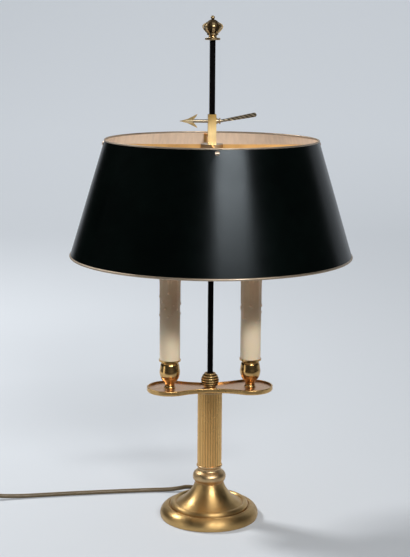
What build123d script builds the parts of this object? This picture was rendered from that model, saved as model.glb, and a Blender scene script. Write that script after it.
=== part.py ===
from build123d import *

import math
import os

# A two-light bouillotte lamp. Sizes are in millimetres. The origin is the centre of the foot's
# resting face, +Z is up, the candle tray lies along X and the front faces -Y.

# Fits
RUNNING_FIT = 0.06
LOOSE_FIT = 0.1
SHEET_GAP = 0.3

# Foot
FELT_THICKNESS = 2.0
FOOT_SHEET = 1.3
RIM_LIFT = 0.6
RIM_TUCK = 0.7
FOOT_RADIUS = 57.3
ROLL_SPRING_HEIGHT = 4.0
ROLL_CREST_HEIGHT = 14.2
ROLL_EDGE_BEVEL = 0.7
ROLL_LINE_RADIUS = 49.4
ROLL_LINE_WIDTH = 1.1
GROOVE_HEIGHT = 12.4
GROOVE_WIDTH = 1.4
BEAD_OUTER_RADIUS = 45.4
BEAD_CREST_RADIUS = 42.3
BEAD_CREST_HEIGHT = 18.4
FLARE_RADIUS = 38.9
SHOULDER_HEIGHT = 16.9
NECK_RADIUS = 16.8
FOOT_HEIGHT = 41.5

# Weight inside the foot
WEIGHT_GAP = 8.0
WEIGHT_HUB_RADIUS = 20.0
WEIGHT_HUB_HEIGHT = 20.0
NUT_RECESS_RADIUS = 11.5
NUT_RECESS_HEIGHT = 14.0
WIRE_SLOT_WIDTH = 15.0
WIRE_SLOT_HEIGHT = 10.0

# Tie rod, its nut and washer
ROD_RADIUS = 5.0
ROD_BORE_RADIUS = 3.6
ROD_END_DROP = 1.0
WASHER_RADIUS = 10.5
WASHER_THICKNESS = 1.4
NUT_FLATS = 17.0
NUT_THICKNESS = 5.2

# Collar between foot and column
COLLAR_HEIGHT = 21.5
COLLAR_SEAT_RADIUS = 16.4
COLLAR_SEAT_HEIGHT = 1.5
TORUS_RADIUS = 19.2
TORUS_HEIGHT = 12.1
TORUS_EDGE_RADIUS = 16.2
COLLAR_WAIST_RADIUS = 13.4
COLLAR_LIP_RADIUS = 15.0
COLLAR_LIP_HEIGHT = 2.2
SPIGOT_LENGTH = 6.0

# Fluted column and its cap
COLUMN_LENGTH = 86.9
COLUMN_RADIUS = 14.1
COLUMN_BORE_RADIUS = 11.6
FLUTE_COUNT = 28
FLUTE_RADIUS = 1.1
FLUTE_DEPTH = 0.7
CAP_THICKNESS = 1.6
CAP_OVERHANG = 0.5

# Candle tray
LIGHT_OFFSET = 46.4
LOBE_RADIUS = 26.3
WAIST_HALF_WIDTH = 14.6
TRAY_HEIGHT = 5.6
TRAY_FLOOR_HEIGHT = 3.7
TRAY_SHEET = 1.0
TRAY_RIM_WIDTH = 1.8
TRAY_FOOT_ROUND = 2.0
TRAY_RIM_ROUND = 0.8
CHANNEL_INSET = 4.2
UNDERPLATE_THICKNESS = 0.8

# Ball and stem
BALL_RADIUS = 10.4
BALL_SEAT_DEPTH = 2.0
BALL_RIB_COUNT = 8
BALL_RIB_DEPTH = 0.45
BALL_BORE_DEPTH = 6.8
STEM_SIDE = 6.0
STEM_LENGTH = 390.0

# Finial
FINIAL_SEAT_DEPTH = 3.0
DISC_RADIUS = 8.5
DISC_THICKNESS = 2.5
FINIAL_NECK_RADIUS = 5.2
FINIAL_NECK_LENGTH = 3.0
BAND_RADIUS = 6.3
BAND_HEIGHT = 2.4
CROWN_RADIUS = 11.4
CROWN_BELLY_HEIGHT = 7.0
CROWN_HEIGHT = 14.4
ARCH_COUNT = 8
ARCH_WIDTH = 2.6
ARCH_THICKNESS = 1.5
CROWN_CAP_RADIUS = 7.6
CROWN_TIP_RADIUS = 1.6
ORB_RADIUS = 2.3

# Candle lights
CUP_FOOT_RADIUS = 6.5
CUP_STEM_RADIUS = 5.6
CUP_STEM_HEIGHT = 4.6
CUP_BELLY_RADIUS = 11.9
CUP_BELLY_HEIGHT = 19.2
CUP_NECK_RADIUS = 10.2
CUP_NECK_DROP = 5.2
CUP_RIM_RADIUS = 12.6
CUP_RIM_THICKNESS = 1.8
CUP_HEIGHT = 33.8
CUP_FLOOR_HEIGHT = 13.5
CUP_SEAT_DEPTH = 1.6
CUP_BORE_RADIUS = 9.2
CUP_NUT_FLATS = 14.0
CUP_NUT_THICKNESS = 4.0
HOLDER_TUBE_LENGTH = 89.8
CANDLE_RADIUS = 11.8
CANDLE_WAX_RADIUS = 12.7
CANDLE_BORE_RADIUS = 10.7
CANDLE_LENGTH = 95.6
HOLDER_RADIUS = 9.6
HOLDER_BORE_RADIUS = 7.3
HOLDER_LENGTH = 43.0
HOLDER_GRIP = 6.0
HOLDER_BASE = 8.0
CONTACT_LIFT = 6.0
CONTACT_THICKNESS = 2.0
BULB_CAP_RADIUS = 6.9
BULB_CAP_LENGTH = 26.5
BULB_CAP_TIP_LENGTH = 1.5
BULB_RADIUS = 17.5
BULB_LENGTH = 76.0
BULB_WALL = 0.9

# Sleeve, clamp screw, lever and arrow head
SLEEVE_SIDE = 9.0
SLEEVE_FOOT = 3.2
SLEEVE_HEAD = 7.5
ARROW_RISE = 20.8
ARROW_REACH = 36.0
BARB_REACH = 16.3
BARB_SPREAD = 7.8
SHANK_RADIUS = 1.9
HEAD_THICKNESS = 2.6
CLAMP_RADIUS = 2.0
CLAMP_TIP_GAP = 0.1
SPOOL_RADIUS = 3.45
SPOOL_WAIST_RADIUS = 2.3
SPOOL_GAP = 0.3
SPOOL_LENGTH = 4.4
LEVER_RISE_ANGLE = 10.4
LEVER_LENGTH = 41.0
LEVER_ROD_RADIUS = 1.6
FEATHER_LENGTH = 34.0
FEATHER_ROOT_HEIGHT = 3.4
FEATHER_TIP_HEIGHT = 4.8
FEATHER_THICKNESS = 2.2
FEATHER_GROOVES = 8

# Shade and spider
SHADE_TOP_HEIGHT = 439.7
SHADE_HEIGHT = 129.1
SHADE_TOP_RADIUS = 119.4
SHADE_BOTTOM_RADIUS = 158.7
SHADE_SHEET = 0.8
TOP_BEAD_RADIUS = 1.0
BOTTOM_BEAD_RADIUS = 1.3
HUB_RADIUS = 12.5
HUB_DROP = 9.5
HUB_THICKNESS = 5.0
SPIDER_TURN = -2.5
ARM_COUNT = 4
ARM_THICKNESS = 2.0
ARM_DROP = 4.9
ARM_DEPTH = 6.8
EAR_WIDTH = 8.0
EAR_LENGTH = 10.6
EAR_THICKNESS = 1.2
EAR_NOTCH = 6.0
SHADE_SCREW_DROP = 4.1
SCREW_RADIUS = 1.5
SCREW_HEAD_RADIUS = 2.6
SCREW_HEAD_HEIGHT = 1.6
SCREW_SLOT = 0.6
SHADE_NUT_FLATS = 5.5
SHADE_NUT_THICKNESS = 2.0

# Wiring inside the lamp
LEAD_RADIUS = 0.8
LEAD_BEND_RADIUS = 2.4
LEAD_SPACING = 2.6
LEAD_HEIGHT_IN_FOOT = 4.2
TERMINAL_START = 24.0
TERMINAL_LENGTH = 14.0
TERMINAL_WIDTH = 12.0
TERMINAL_HEIGHT = 7.0

# Cord, its relief, coil, in-line switch and plug
CORD_DIAMETER = 5.2
CORD_EXIT_HEIGHT = 6.5
RELIEF_BARREL_RADIUS = 4.0
RELIEF_INNER_LENGTH = 5.0
RELIEF_FLANGE_RADIUS = 5.4
RELIEF_FLANGE_THICKNESS = 2.4
RELIEF_BEND_RADIUS = 24.0
RELIEF_BEND_ANGLE = 60.0
RELIEF_CORE_RADIUS = 3.3
RELIEF_RIBS = 6
RELIEF_RIB_LENGTH = 2.0
FEED_START_LENGTH = 8.4
COIL_MEAN_RADIUS = 28.6
COIL_ROWS = 3
COIL_LAYERS = 3
COIL_CENTRE = (-371.0, 102.0)
COIL_STUB_LENGTH = 20.0
SWITCH_CENTRE = (-295.0, 68.2)
SWITCH_LENGTH = 62.0
SWITCH_WIDTH = 27.0
SWITCH_HALF_HEIGHT = 8.0
SWITCH_WALL = 2.0
SWITCH_END_RADIUS = 9.0
SWITCH_CORD_HEIGHT = 5.2
SWITCH_CORD_GRIP = 5.0
CONTACT_BLOCK = (8.0, 7.0, 5.0)
SWITCH_POST_RADIUS = 3.0
SWITCH_POST_X = 19.0
SWITCH_POST_Y = 9.2
SWITCH_SCREW_RADIUS = 1.2
SWITCH_SCREW_HEAD_RADIUS = 2.2
SWITCH_SCREW_LENGTH = 11.0
ROCKER_LENGTH = 15.0
ROCKER_WIDTH = 8.0
ROCKER_AXIS_HEIGHT = 13.2
ROCKER_END_RISE = 3.2
ROCKER_MIDDLE_RISE = 2.1
ROCKER_DROP = 3.0
ROCKER_TILT = 8.0
ROCKER_GAP = 0.5
ROCKER_PIN_RADIUS = 1.4
ROCKER_PIN_REACH = 6.2
EAR_BLOCK = (6.0, 3.0)
PLUG_AXIS_Y = 135.2
PLUG_START_X = -309.0
PLUG_HEIGHT = 7.0
PLUG_BODY_LENGTH = 32.0
PLUG_BODY_WIDTH = 34.0
PLUG_BODY_THICKNESS = 13.0
PLUG_GRIP_LENGTH = 12.0
PIN_RADIUS = 2.0
PIN_LENGTH = 19.0
PIN_SPACING = 18.6

# Heights that follow from the sizes above
CORD_RADIUS = CORD_DIAMETER / 2
COLLAR_TOP = FOOT_HEIGHT + COLLAR_HEIGHT
COLUMN_TOP = COLLAR_TOP + COLUMN_LENGTH
TRAY_BOTTOM = COLUMN_TOP + CAP_THICKNESS
TRAY_TOP = TRAY_BOTTOM + TRAY_HEIGHT
TRAY_FLOOR = TRAY_BOTTOM + TRAY_FLOOR_HEIGHT
TRAY_FLOOR_UNDERSIDE = TRAY_FLOOR - TRAY_SHEET
CHANNEL_BOTTOM = TRAY_BOTTOM + UNDERPLATE_THICKNESS
BALL_CENTRE = TRAY_FLOOR + BALL_RADIUS - BALL_SEAT_DEPTH
STEM_BOTTOM = TRAY_FLOOR + BALL_BORE_DEPTH
STEM_TOP = STEM_BOTTOM + STEM_LENGTH
DISC_BOTTOM = STEM_TOP - FINIAL_SEAT_DEPTH
BAND_BOTTOM = DISC_BOTTOM + DISC_THICKNESS + FINIAL_NECK_LENGTH
CROWN_BOTTOM = BAND_BOTTOM + BAND_HEIGHT
CROWN_TOP = CROWN_BOTTOM + CROWN_HEIGHT
CUP_TOP = TRAY_FLOOR + CUP_HEIGHT
CUP_FLOOR = TRAY_FLOOR + CUP_FLOOR_HEIGHT
CANDLE_BOTTOM = CUP_TOP - CUP_SEAT_DEPTH
CANDLE_TOP = CANDLE_BOTTOM + CANDLE_LENGTH
HOLDER_TUBE_TOP = TRAY_FLOOR_UNDERSIDE + HOLDER_TUBE_LENGTH
HOLDER_BOTTOM = HOLDER_TUBE_TOP - HOLDER_GRIP
HOLDER_TOP = HOLDER_BOTTOM + HOLDER_LENGTH
CONTACT_BOTTOM = HOLDER_BOTTOM + HOLDER_BASE + CONTACT_LIFT
BULB_CAP_BOTTOM = CONTACT_BOTTOM + CONTACT_THICKNESS
BULB_BOTTOM = BULB_CAP_BOTTOM + BULB_CAP_LENGTH
LEAD_CHANNEL_HEIGHT = (CHANNEL_BOTTOM + TRAY_FLOOR_UNDERSIDE) / 2
SHADE_BOTTOM_HEIGHT = SHADE_TOP_HEIGHT - SHADE_HEIGHT
SHADE_SCREW_HEIGHT = SHADE_TOP_HEIGHT - SHADE_SCREW_DROP
ARM_TOP = SHADE_TOP_HEIGHT - ARM_DROP
ARM_BOTTOM = ARM_TOP - ARM_DEPTH
HUB_BOTTOM = SHADE_TOP_HEIGHT - HUB_DROP
ARROW_HEIGHT = SHADE_TOP_HEIGHT + ARROW_RISE
SLEEVE_BOTTOM = HUB_BOTTOM - SLEEVE_FOOT
SLEEVE_TOP = ARROW_HEIGHT + SLEEVE_HEAD
WEIGHT_TOP = GROOVE_HEIGHT - FOOT_SHEET
ROLL_START_RADIUS = BEAD_OUTER_RADIUS + GROOVE_WIDTH
ROLL_WIDTH = FOOT_RADIUS - ROLL_START_RADIUS
ROLL_RISE = ROLL_CREST_HEIGHT - ROLL_SPRING_HEIGHT
SHADE_SLOPE = math.degrees(math.atan((SHADE_BOTTOM_RADIUS - SHADE_TOP_RADIUS) / SHADE_HEIGHT))
SHEET_ACROSS = SHADE_SHEET / math.cos(math.radians(SHADE_SLOPE))
SWITCH_HEIGHT = 2 * SWITCH_HALF_HEIGHT
LIGHTS = {"left": -1, "right": 1}
RELIEF_START = ROLL_START_RADIUS + ROLL_WIDTH * math.sqrt(
    1 - ((CORD_EXIT_HEIGHT - ROLL_SPRING_HEIGHT) / ROLL_RISE) ** 2
)

nodes = {}


def post(radius, bottom, top, x=0.0, y=0.0):
    """An upright cylinder between two heights."""
    solid = Cylinder(radius, top - bottom, align=(Align.CENTER, Align.CENTER, Align.MIN))
    return Pos(x, y, bottom) * solid


def block(x0, x1, y0, y1, z0, z1):
    """A box between two corners."""
    return Pos((x0 + x1) / 2, (y0 + y1) / 2, (z0 + z1) / 2) * Box(x1 - x0, y1 - y0, z1 - z0)


def turned(outline):
    """A solid turned about Z from a closed outline of radius and height."""
    return revolve(Plane.XZ * make_face(outline), Axis.Z)


def hexagon(flats, bottom, top):
    """A hexagonal prism measured across its flats."""
    return Pos(0, 0, bottom) * extrude(RegularPolygon(flats / math.sqrt(3), 6), top - bottom)


def nut(flats, bore, bottom, top):
    """A hexagonal nut with its bore."""
    return hexagon(flats, bottom, top) - post(bore, bottom - 1, top + 1)


def turns(count, start=0.0):
    """Angles of a regular pattern about Z."""
    return [start + 360 * k / count for k in range(count)]


# ---------------------------------------------------------------- foot


def roll_height(radius):
    """The height of the foot's lower roll at a radius."""
    return ROLL_SPRING_HEIGHT + ROLL_RISE * math.sqrt(1 - ((radius - ROLL_START_RADIUS) / ROLL_WIDTH) ** 2)


def foot_outline(inset):
    """The spun foot's half outline from neck to rim, moved in and down by the inset."""

    def at(radius, height):
        return (radius - inset, height - inset)

    spread = FLARE_RADIUS - NECK_RADIUS
    rise = FOOT_HEIGHT - SHOULDER_HEIGHT
    bead_foot_height = (BEAD_CREST_HEIGHT + GROOVE_HEIGHT) / 2 - 0.6
    edge_width = ROLL_EDGE_BEVEL + 2 * inset
    roll = EllipticalCenterArc(
        at(ROLL_START_RADIUS, ROLL_SPRING_HEIGHT),
        ROLL_WIDTH,
        ROLL_RISE,
        0,
        arc_size=math.degrees(math.acos(edge_width / ROLL_WIDTH)),
    )
    outline = Line(at(inset, FOOT_HEIGHT), at(NECK_RADIUS, FOOT_HEIGHT))
    outline += Bezier(
        at(NECK_RADIUS, FOOT_HEIGHT),
        at(NECK_RADIUS + 0.1 * spread, FOOT_HEIGHT - 0.37 * rise),
        at(FLARE_RADIUS - 0.53 * spread, SHOULDER_HEIGHT + 0.23 * rise),
        at(FLARE_RADIUS, SHOULDER_HEIGHT),
    )
    outline += ThreePointArc(
        at(FLARE_RADIUS, SHOULDER_HEIGHT),
        at(BEAD_CREST_RADIUS, BEAD_CREST_HEIGHT),
        at(BEAD_OUTER_RADIUS, bead_foot_height),
    )
    outline += Polyline(
        at(BEAD_OUTER_RADIUS, bead_foot_height),
        at(BEAD_OUTER_RADIUS, GROOVE_HEIGHT),
        (ROLL_START_RADIUS + inset, GROOVE_HEIGHT - inset),
        (ROLL_START_RADIUS + inset, ROLL_CREST_HEIGHT - ROLL_EDGE_BEVEL - inset),
        roll @ 1,
    )
    outline += roll
    outline += Polyline(
        roll @ 0,
        at(FOOT_RADIUS - RIM_TUCK, RIM_LIFT),
        at(inset, RIM_LIFT),
        at(inset, FOOT_HEIGHT),
    )
    return outline


def base_foot():
    shell = turned(foot_outline(0)) - turned(foot_outline(FOOT_SHEET))
    line_height = roll_height(ROLL_LINE_RADIUS) + ROLL_LINE_WIDTH / 8
    shell -= Pos(0, 0, line_height) * Torus(ROLL_LINE_RADIUS, ROLL_LINE_WIDTH / 2)
    shell -= post(ROD_RADIUS + LOOSE_FIT, FOOT_HEIGHT - 5, FOOT_HEIGHT + 1)
    cord_hole = Pos(0, RELIEF_START, CORD_EXIT_HEIGHT) * Rot(90, 0, 0) * Cylinder(RELIEF_BARREL_RADIUS, 20)
    return shell - cord_hole


def felt_pad():
    radius = FOOT_RADIUS - RIM_TUCK - FOOT_SHEET - SHEET_GAP
    return post(radius, 0, FELT_THICKNESS)


def base_weight():
    radius = FOOT_RADIUS - FOOT_SHEET - WEIGHT_GAP
    weight = post(radius, FELT_THICKNESS, WEIGHT_TOP)
    weight += post(WEIGHT_HUB_RADIUS, FELT_THICKNESS, WEIGHT_HUB_HEIGHT)
    weight -= post(NUT_RECESS_RADIUS, 0, NUT_RECESS_HEIGHT)
    weight -= post(ROD_RADIUS + LOOSE_FIT, 0, WEIGHT_HUB_HEIGHT + 1)
    half = WIRE_SLOT_WIDTH / 2
    return weight - block(-half, half, 0, radius + 2, 0, WIRE_SLOT_HEIGHT)


def rod_washer():
    washer = post(WASHER_RADIUS, NUT_RECESS_HEIGHT - WASHER_THICKNESS, NUT_RECESS_HEIGHT)
    return washer - post(ROD_RADIUS + LOOSE_FIT, 0, NUT_RECESS_HEIGHT + 1)


NUT_TOP = NUT_RECESS_HEIGHT - WASHER_THICKNESS
NUT_BOTTOM = NUT_TOP - NUT_THICKNESS
ROD_BOTTOM = NUT_BOTTOM - ROD_END_DROP


def tie_rod():
    rod = post(ROD_RADIUS, ROD_BOTTOM, STEM_BOTTOM) - post(ROD_BORE_RADIUS, ROD_BOTTOM - 1, STEM_BOTTOM + 1)
    half = LEAD_RADIUS + LOOSE_FIT
    reach = ROD_RADIUS + 1
    return rod - block(-reach, reach, -half, half, CHANNEL_BOTTOM, TRAY_FLOOR_UNDERSIDE)


# ---------------------------------------------------------------- column


def base_collar():
    """The collar's torus, waist and lip, with a spigot that fits up into the column."""
    torus_bottom = FOOT_HEIGHT + COLLAR_SEAT_HEIGHT
    torus_top = torus_bottom + TORUS_HEIGHT
    lip_bottom = COLLAR_TOP - COLLAR_LIP_HEIGHT
    cove_radius = COLLAR_WAIST_RADIUS + 1.2
    cove_bottom = torus_top + 0.7
    outline = Polyline(
        (0, COLLAR_TOP),
        (0, FOOT_HEIGHT),
        (COLLAR_SEAT_RADIUS, FOOT_HEIGHT),
        (TORUS_EDGE_RADIUS + 0.6, torus_bottom),
    )
    outline += ThreePointArc(
        (TORUS_EDGE_RADIUS + 0.6, torus_bottom),
        (TORUS_RADIUS, torus_bottom + TORUS_HEIGHT / 2),
        (TORUS_EDGE_RADIUS - 0.6, torus_top),
    )
    outline += Line((TORUS_EDGE_RADIUS - 0.6, torus_top), (cove_radius, cove_bottom))
    outline += ThreePointArc(
        (cove_radius, cove_bottom),
        (COLLAR_WAIST_RADIUS, (cove_bottom + lip_bottom) / 2),
        (cove_radius, lip_bottom),
    )
    outline += Polyline(
        (cove_radius, lip_bottom),
        (COLLAR_LIP_RADIUS, lip_bottom + 0.6),
        (COLLAR_LIP_RADIUS, COLLAR_TOP - 0.6),
        (COLLAR_LIP_RADIUS - 0.6, COLLAR_TOP),
        (0, COLLAR_TOP),
    )
    spigot = post(COLUMN_BORE_RADIUS - LOOSE_FIT, COLLAR_TOP, COLLAR_TOP + SPIGOT_LENGTH)
    bore = post(ROD_RADIUS + LOOSE_FIT, FOOT_HEIGHT - 1, COLLAR_TOP + SPIGOT_LENGTH + 1)
    return turned(outline) + spigot - bore


def fluted_column():
    flute_centre = COLUMN_RADIUS + FLUTE_RADIUS - FLUTE_DEPTH
    section = Circle(COLUMN_RADIUS) - Circle(COLUMN_BORE_RADIUS)
    section -= PolarLocations(flute_centre, FLUTE_COUNT) * Circle(FLUTE_RADIUS)
    return Pos(0, 0, COLLAR_TOP) * extrude(section, COLUMN_LENGTH)


def column_cap():
    cap = chamfer(
        post(COLUMN_RADIUS + CAP_OVERHANG, COLUMN_TOP, TRAY_BOTTOM).edges().sort_by(Axis.Z)[-1],
        0.3,
    )
    cap += post(COLUMN_BORE_RADIUS - LOOSE_FIT, COLUMN_TOP - SPIGOT_LENGTH, COLUMN_TOP)
    return cap - post(ROD_RADIUS + LOOSE_FIT, COLUMN_TOP - SPIGOT_LENGTH - 1, TRAY_BOTTOM + 1)


# ---------------------------------------------------------------- tray


def tray_outline(inset):
    """The figure-8 outline: two lobes joined by hollow flanks that touch them."""
    lobe = LOBE_RADIUS - inset
    waist = WAIST_HALF_WIDTH - inset
    flank = (LIGHT_OFFSET**2 + waist**2 - lobe**2) / (2 * (lobe - waist))
    flank_centre = waist + flank
    share = lobe / (lobe + flank)
    touch_x = LIGHT_OFFSET * (1 - share)
    touch_y = flank_centre * share
    outline = ThreePointArc((-touch_x, touch_y), (0, waist), (touch_x, touch_y))
    outline += ThreePointArc((touch_x, touch_y), (LIGHT_OFFSET + lobe, 0), (touch_x, -touch_y))
    outline += ThreePointArc((touch_x, -touch_y), (0, -waist), (-touch_x, -touch_y))
    outline += ThreePointArc((-touch_x, -touch_y), (-LIGHT_OFFSET - lobe, 0), (-touch_x, touch_y))
    return make_face(outline)


def tray_slab(inset, bottom, top):
    return Pos(0, 0, bottom) * extrude(tray_outline(inset), top - bottom)


def candle_tray():
    """The dish: a side wall, a floor and the hollow channel under it."""
    tray = tray_slab(0, TRAY_BOTTOM, TRAY_TOP)
    tray = fillet(tray.faces().sort_by(Axis.Z)[0].edges(), TRAY_FOOT_ROUND)
    tray = fillet(tray.faces().sort_by(Axis.Z)[-1].edges(), TRAY_RIM_ROUND)
    tray -= tray_slab(TRAY_RIM_WIDTH, TRAY_FLOOR, TRAY_TOP + 1)
    tray -= tray_slab(CHANNEL_INSET, TRAY_BOTTOM - 1, TRAY_FLOOR_UNDERSIDE)
    tray -= post(ROD_RADIUS + LOOSE_FIT, TRAY_BOTTOM - 1, TRAY_TOP + 1)
    for side in LIGHTS.values():
        tray -= post(ROD_RADIUS, TRAY_BOTTOM - 1, TRAY_TOP + 1, side * LIGHT_OFFSET)
    return tray


def tray_underplate():
    plate = tray_slab(CHANNEL_INSET, TRAY_BOTTOM, CHANNEL_BOTTOM)
    return plate - post(ROD_RADIUS + LOOSE_FIT, TRAY_BOTTOM - 1, CHANNEL_BOTTOM + 1)


# ---------------------------------------------------------------- ball, stem and finial


def stem_ball():
    """A beehive ball: rounded ribs round a sphere, cut flat where it stands on the tray's floor."""
    ribbed = Pos(0, 0, BALL_CENTRE) * Sphere(BALL_RADIUS - BALL_RIB_DEPTH)
    step = 2 * BALL_RADIUS / BALL_RIB_COUNT
    rib = 2.2 * BALL_RIB_DEPTH
    for k in range(BALL_RIB_COUNT - 1):
        height = (k + 1 - BALL_RIB_COUNT / 2) * step
        ribbed += Pos(0, 0, BALL_CENTRE + height) * Torus(math.sqrt(BALL_RADIUS**2 - height**2) - rib, rib)
    ribbed -= post(BALL_RADIUS + 5, BALL_CENTRE - 2 * BALL_RADIUS, TRAY_FLOOR)
    ribbed -= post(ROD_RADIUS + LOOSE_FIT, TRAY_FLOOR - 1, STEM_BOTTOM)
    half = STEM_SIDE / 2
    return ribbed - block(-half, half, -half, half, STEM_BOTTOM - 1, BALL_CENTRE + BALL_RADIUS + 5)


def stem():
    half = STEM_SIDE / 2
    return block(-half, half, -half, half, STEM_BOTTOM, STEM_TOP)


def finial_base():
    disc_top = DISC_BOTTOM + DISC_THICKNESS
    bevel = 0.6
    outline = Polyline(
        (0, DISC_BOTTOM),
        (DISC_RADIUS - bevel, DISC_BOTTOM),
        (DISC_RADIUS, DISC_BOTTOM + bevel),
        (DISC_RADIUS, disc_top - bevel),
        (DISC_RADIUS - bevel, disc_top),
        (FINIAL_NECK_RADIUS, disc_top),
    )
    outline += ThreePointArc(
        (FINIAL_NECK_RADIUS, disc_top),
        (FINIAL_NECK_RADIUS - 0.8, disc_top + FINIAL_NECK_LENGTH / 2),
        (FINIAL_NECK_RADIUS, BAND_BOTTOM),
    )
    outline += Polyline((FINIAL_NECK_RADIUS, BAND_BOTTOM), (0, BAND_BOTTOM), (0, DISC_BOTTOM))
    half = STEM_SIDE / 2
    return turned(outline) - block(-half, half, -half, half, DISC_BOTTOM - 1, STEM_TOP)


def finial_crown():
    """An openwork crown: a band, a round cap, and arches that swell and meet at the tip."""
    crown = post(BAND_RADIUS, BAND_BOTTOM, CROWN_BOTTOM)
    belly = CROWN_BOTTOM + CROWN_BELLY_HEIGHT
    crown += Pos(0, 0, belly) * Sphere(CROWN_CAP_RADIUS)
    crown += post(CROWN_TIP_RADIUS, belly, CROWN_TOP)

    def arch_edge(inset):
        return [
            (BAND_RADIUS - inset, CROWN_BOTTOM - 0.5),
            (CROWN_RADIUS - inset, belly),
            (CROWN_TIP_RADIUS - 0.8, CROWN_TOP - inset),
        ]

    foot_out, belly_out, tip_out = arch_edge(0)
    foot_in, belly_in, tip_in = arch_edge(ARCH_THICKNESS)
    side = Spline(foot_out, belly_out, tip_out, tangents=[(1, 0.9), (-1, 0.55)])
    side += Line(tip_out, tip_in)
    side += Spline(foot_in, belly_in, tip_in, tangents=[(1, 0.9), (-1, 0.55)])
    side += Line(foot_in, foot_out)
    arch = extrude(Plane.XZ * make_face(side), ARCH_WIDTH / 2, both=True)
    for angle in turns(ARCH_COUNT):
        crown += Rot(0, 0, angle) * arch
    return crown - post(CROWN_RADIUS, CROWN_TOP, CROWN_TOP + 5)


def finial_orb():
    orb = Pos(0, 0, CROWN_TOP + ORB_RADIUS - 0.3) * Sphere(ORB_RADIUS)
    return orb - post(ORB_RADIUS, CROWN_TOP - ORB_RADIUS, CROWN_TOP)


# ---------------------------------------------------------------- candle lights


def candle_cup(x):
    """A turned cup: foot, stem, ball-shaped belly, neck and a flared rim that seats the candle."""
    floor = TRAY_FLOOR
    neck_height = CUP_HEIGHT - CUP_NECK_DROP
    rim_bottom = CUP_TOP - CUP_RIM_THICKNESS
    outline = Polyline((0, CUP_TOP), (0, floor), (CUP_FOOT_RADIUS, floor), (CUP_FOOT_RADIUS, floor + 1.0))
    outline += Spline(
        (CUP_FOOT_RADIUS, floor + 1.0),
        (CUP_STEM_RADIUS, floor + CUP_STEM_HEIGHT),
        (CUP_BELLY_RADIUS - 2.5, floor + CUP_BELLY_HEIGHT - 8.8),
        (CUP_BELLY_RADIUS - 0.7, floor + CUP_BELLY_HEIGHT - 4.6),
        (CUP_BELLY_RADIUS, floor + CUP_BELLY_HEIGHT),
        (CUP_BELLY_RADIUS - 0.7, floor + (CUP_BELLY_HEIGHT + neck_height) / 2),
        (CUP_NECK_RADIUS, floor + neck_height),
        (CUP_RIM_RADIUS, rim_bottom),
        tangents=[(-1, 0.9), (1, 0.6)],
    )
    outline += Polyline((CUP_RIM_RADIUS, rim_bottom), (CUP_RIM_RADIUS, CUP_TOP), (0, CUP_TOP))
    cup = turned(outline)
    cup -= post(CANDLE_RADIUS + LOOSE_FIT, CANDLE_BOTTOM, CUP_TOP + 1)
    cup -= post(CUP_BORE_RADIUS, CUP_FLOOR, CUP_TOP)
    cup -= post(ROD_RADIUS + LOOSE_FIT, floor - 1, CUP_TOP)
    return Pos(x, 0, 0) * cup


def cup_nut(x):
    return Pos(x, 0, 0) * nut(CUP_NUT_FLATS, ROD_RADIUS + LOOSE_FIT, CUP_FLOOR, CUP_FLOOR + CUP_NUT_THICKNESS)


def holder_tube(x):
    tube = post(ROD_RADIUS, TRAY_FLOOR_UNDERSIDE, HOLDER_TUBE_TOP)
    return Pos(x, 0, 0) * (tube - post(ROD_BORE_RADIUS, TRAY_FLOOR_UNDERSIDE - 1, HOLDER_TUBE_TOP + 1))


def lampholder(x):
    holder = post(HOLDER_RADIUS, HOLDER_BOTTOM, HOLDER_TOP)
    holder -= post(HOLDER_BORE_RADIUS, HOLDER_BOTTOM + HOLDER_BASE, HOLDER_TOP + 1)
    holder -= post(ROD_RADIUS + LOOSE_FIT, HOLDER_BOTTOM - 1, HOLDER_BOTTOM + HOLDER_BASE)
    return Pos(x, 0, 0) * holder


def holder_contact(x):
    return Pos(x, 0, 0) * post(HOLDER_BORE_RADIUS, CONTACT_BOTTOM, BULB_CAP_BOTTOM)


def candle_cover(x):
    """A candle tube that thickens towards its top, where the wax has run."""
    wax_start = CANDLE_BOTTOM + 0.4 * CANDLE_LENGTH
    wax_full = CANDLE_BOTTOM + 0.62 * CANDLE_LENGTH
    outline = Polyline(
        (CANDLE_RADIUS, wax_start),
        (CANDLE_RADIUS, CANDLE_BOTTOM),
        (CANDLE_BORE_RADIUS, CANDLE_BOTTOM),
        (CANDLE_BORE_RADIUS, CANDLE_TOP),
        (CANDLE_WAX_RADIUS - 0.8, CANDLE_TOP),
    )
    outline += Spline(
        (CANDLE_WAX_RADIUS - 0.8, CANDLE_TOP),
        (CANDLE_WAX_RADIUS - 0.1, CANDLE_TOP - 4),
        (CANDLE_WAX_RADIUS, wax_full),
        (CANDLE_RADIUS, wax_start),
        tangents=[(0.8, -0.8), (0, -1)],
    )
    return Pos(x, 0, 0) * turned(outline)


def bulb_cap(x):
    cap = post(BULB_CAP_RADIUS, BULB_CAP_BOTTOM + BULB_CAP_TIP_LENGTH, BULB_BOTTOM)
    return Pos(x, 0, 0) * (cap + post(BULB_CAP_RADIUS / 2, BULB_CAP_BOTTOM, BULB_CAP_BOTTOM + 2))


def bulb_outline(inset):
    """A candle bulb's half outline: a neck, a full belly and a tapered tip."""
    top = BULB_BOTTOM + BULB_LENGTH - inset
    bottom = BULB_BOTTOM + inset
    neck = BULB_CAP_RADIUS - inset
    outline = Spline(
        (neck, bottom),
        (0.72 * BULB_RADIUS - inset, BULB_BOTTOM + 0.18 * BULB_LENGTH),
        (BULB_RADIUS - inset, BULB_BOTTOM + 0.42 * BULB_LENGTH),
        (0.66 * BULB_RADIUS - inset, BULB_BOTTOM + 0.78 * BULB_LENGTH),
        (0, top),
        tangents=[(0.2, 1), (-1, 0.25)],
    )
    return outline + Polyline((0, top), (0, bottom), (neck, bottom))


def bulb_glass(x):
    return Pos(x, 0, 0) * (turned(bulb_outline(0)) - turned(bulb_outline(BULB_WALL)))


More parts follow.
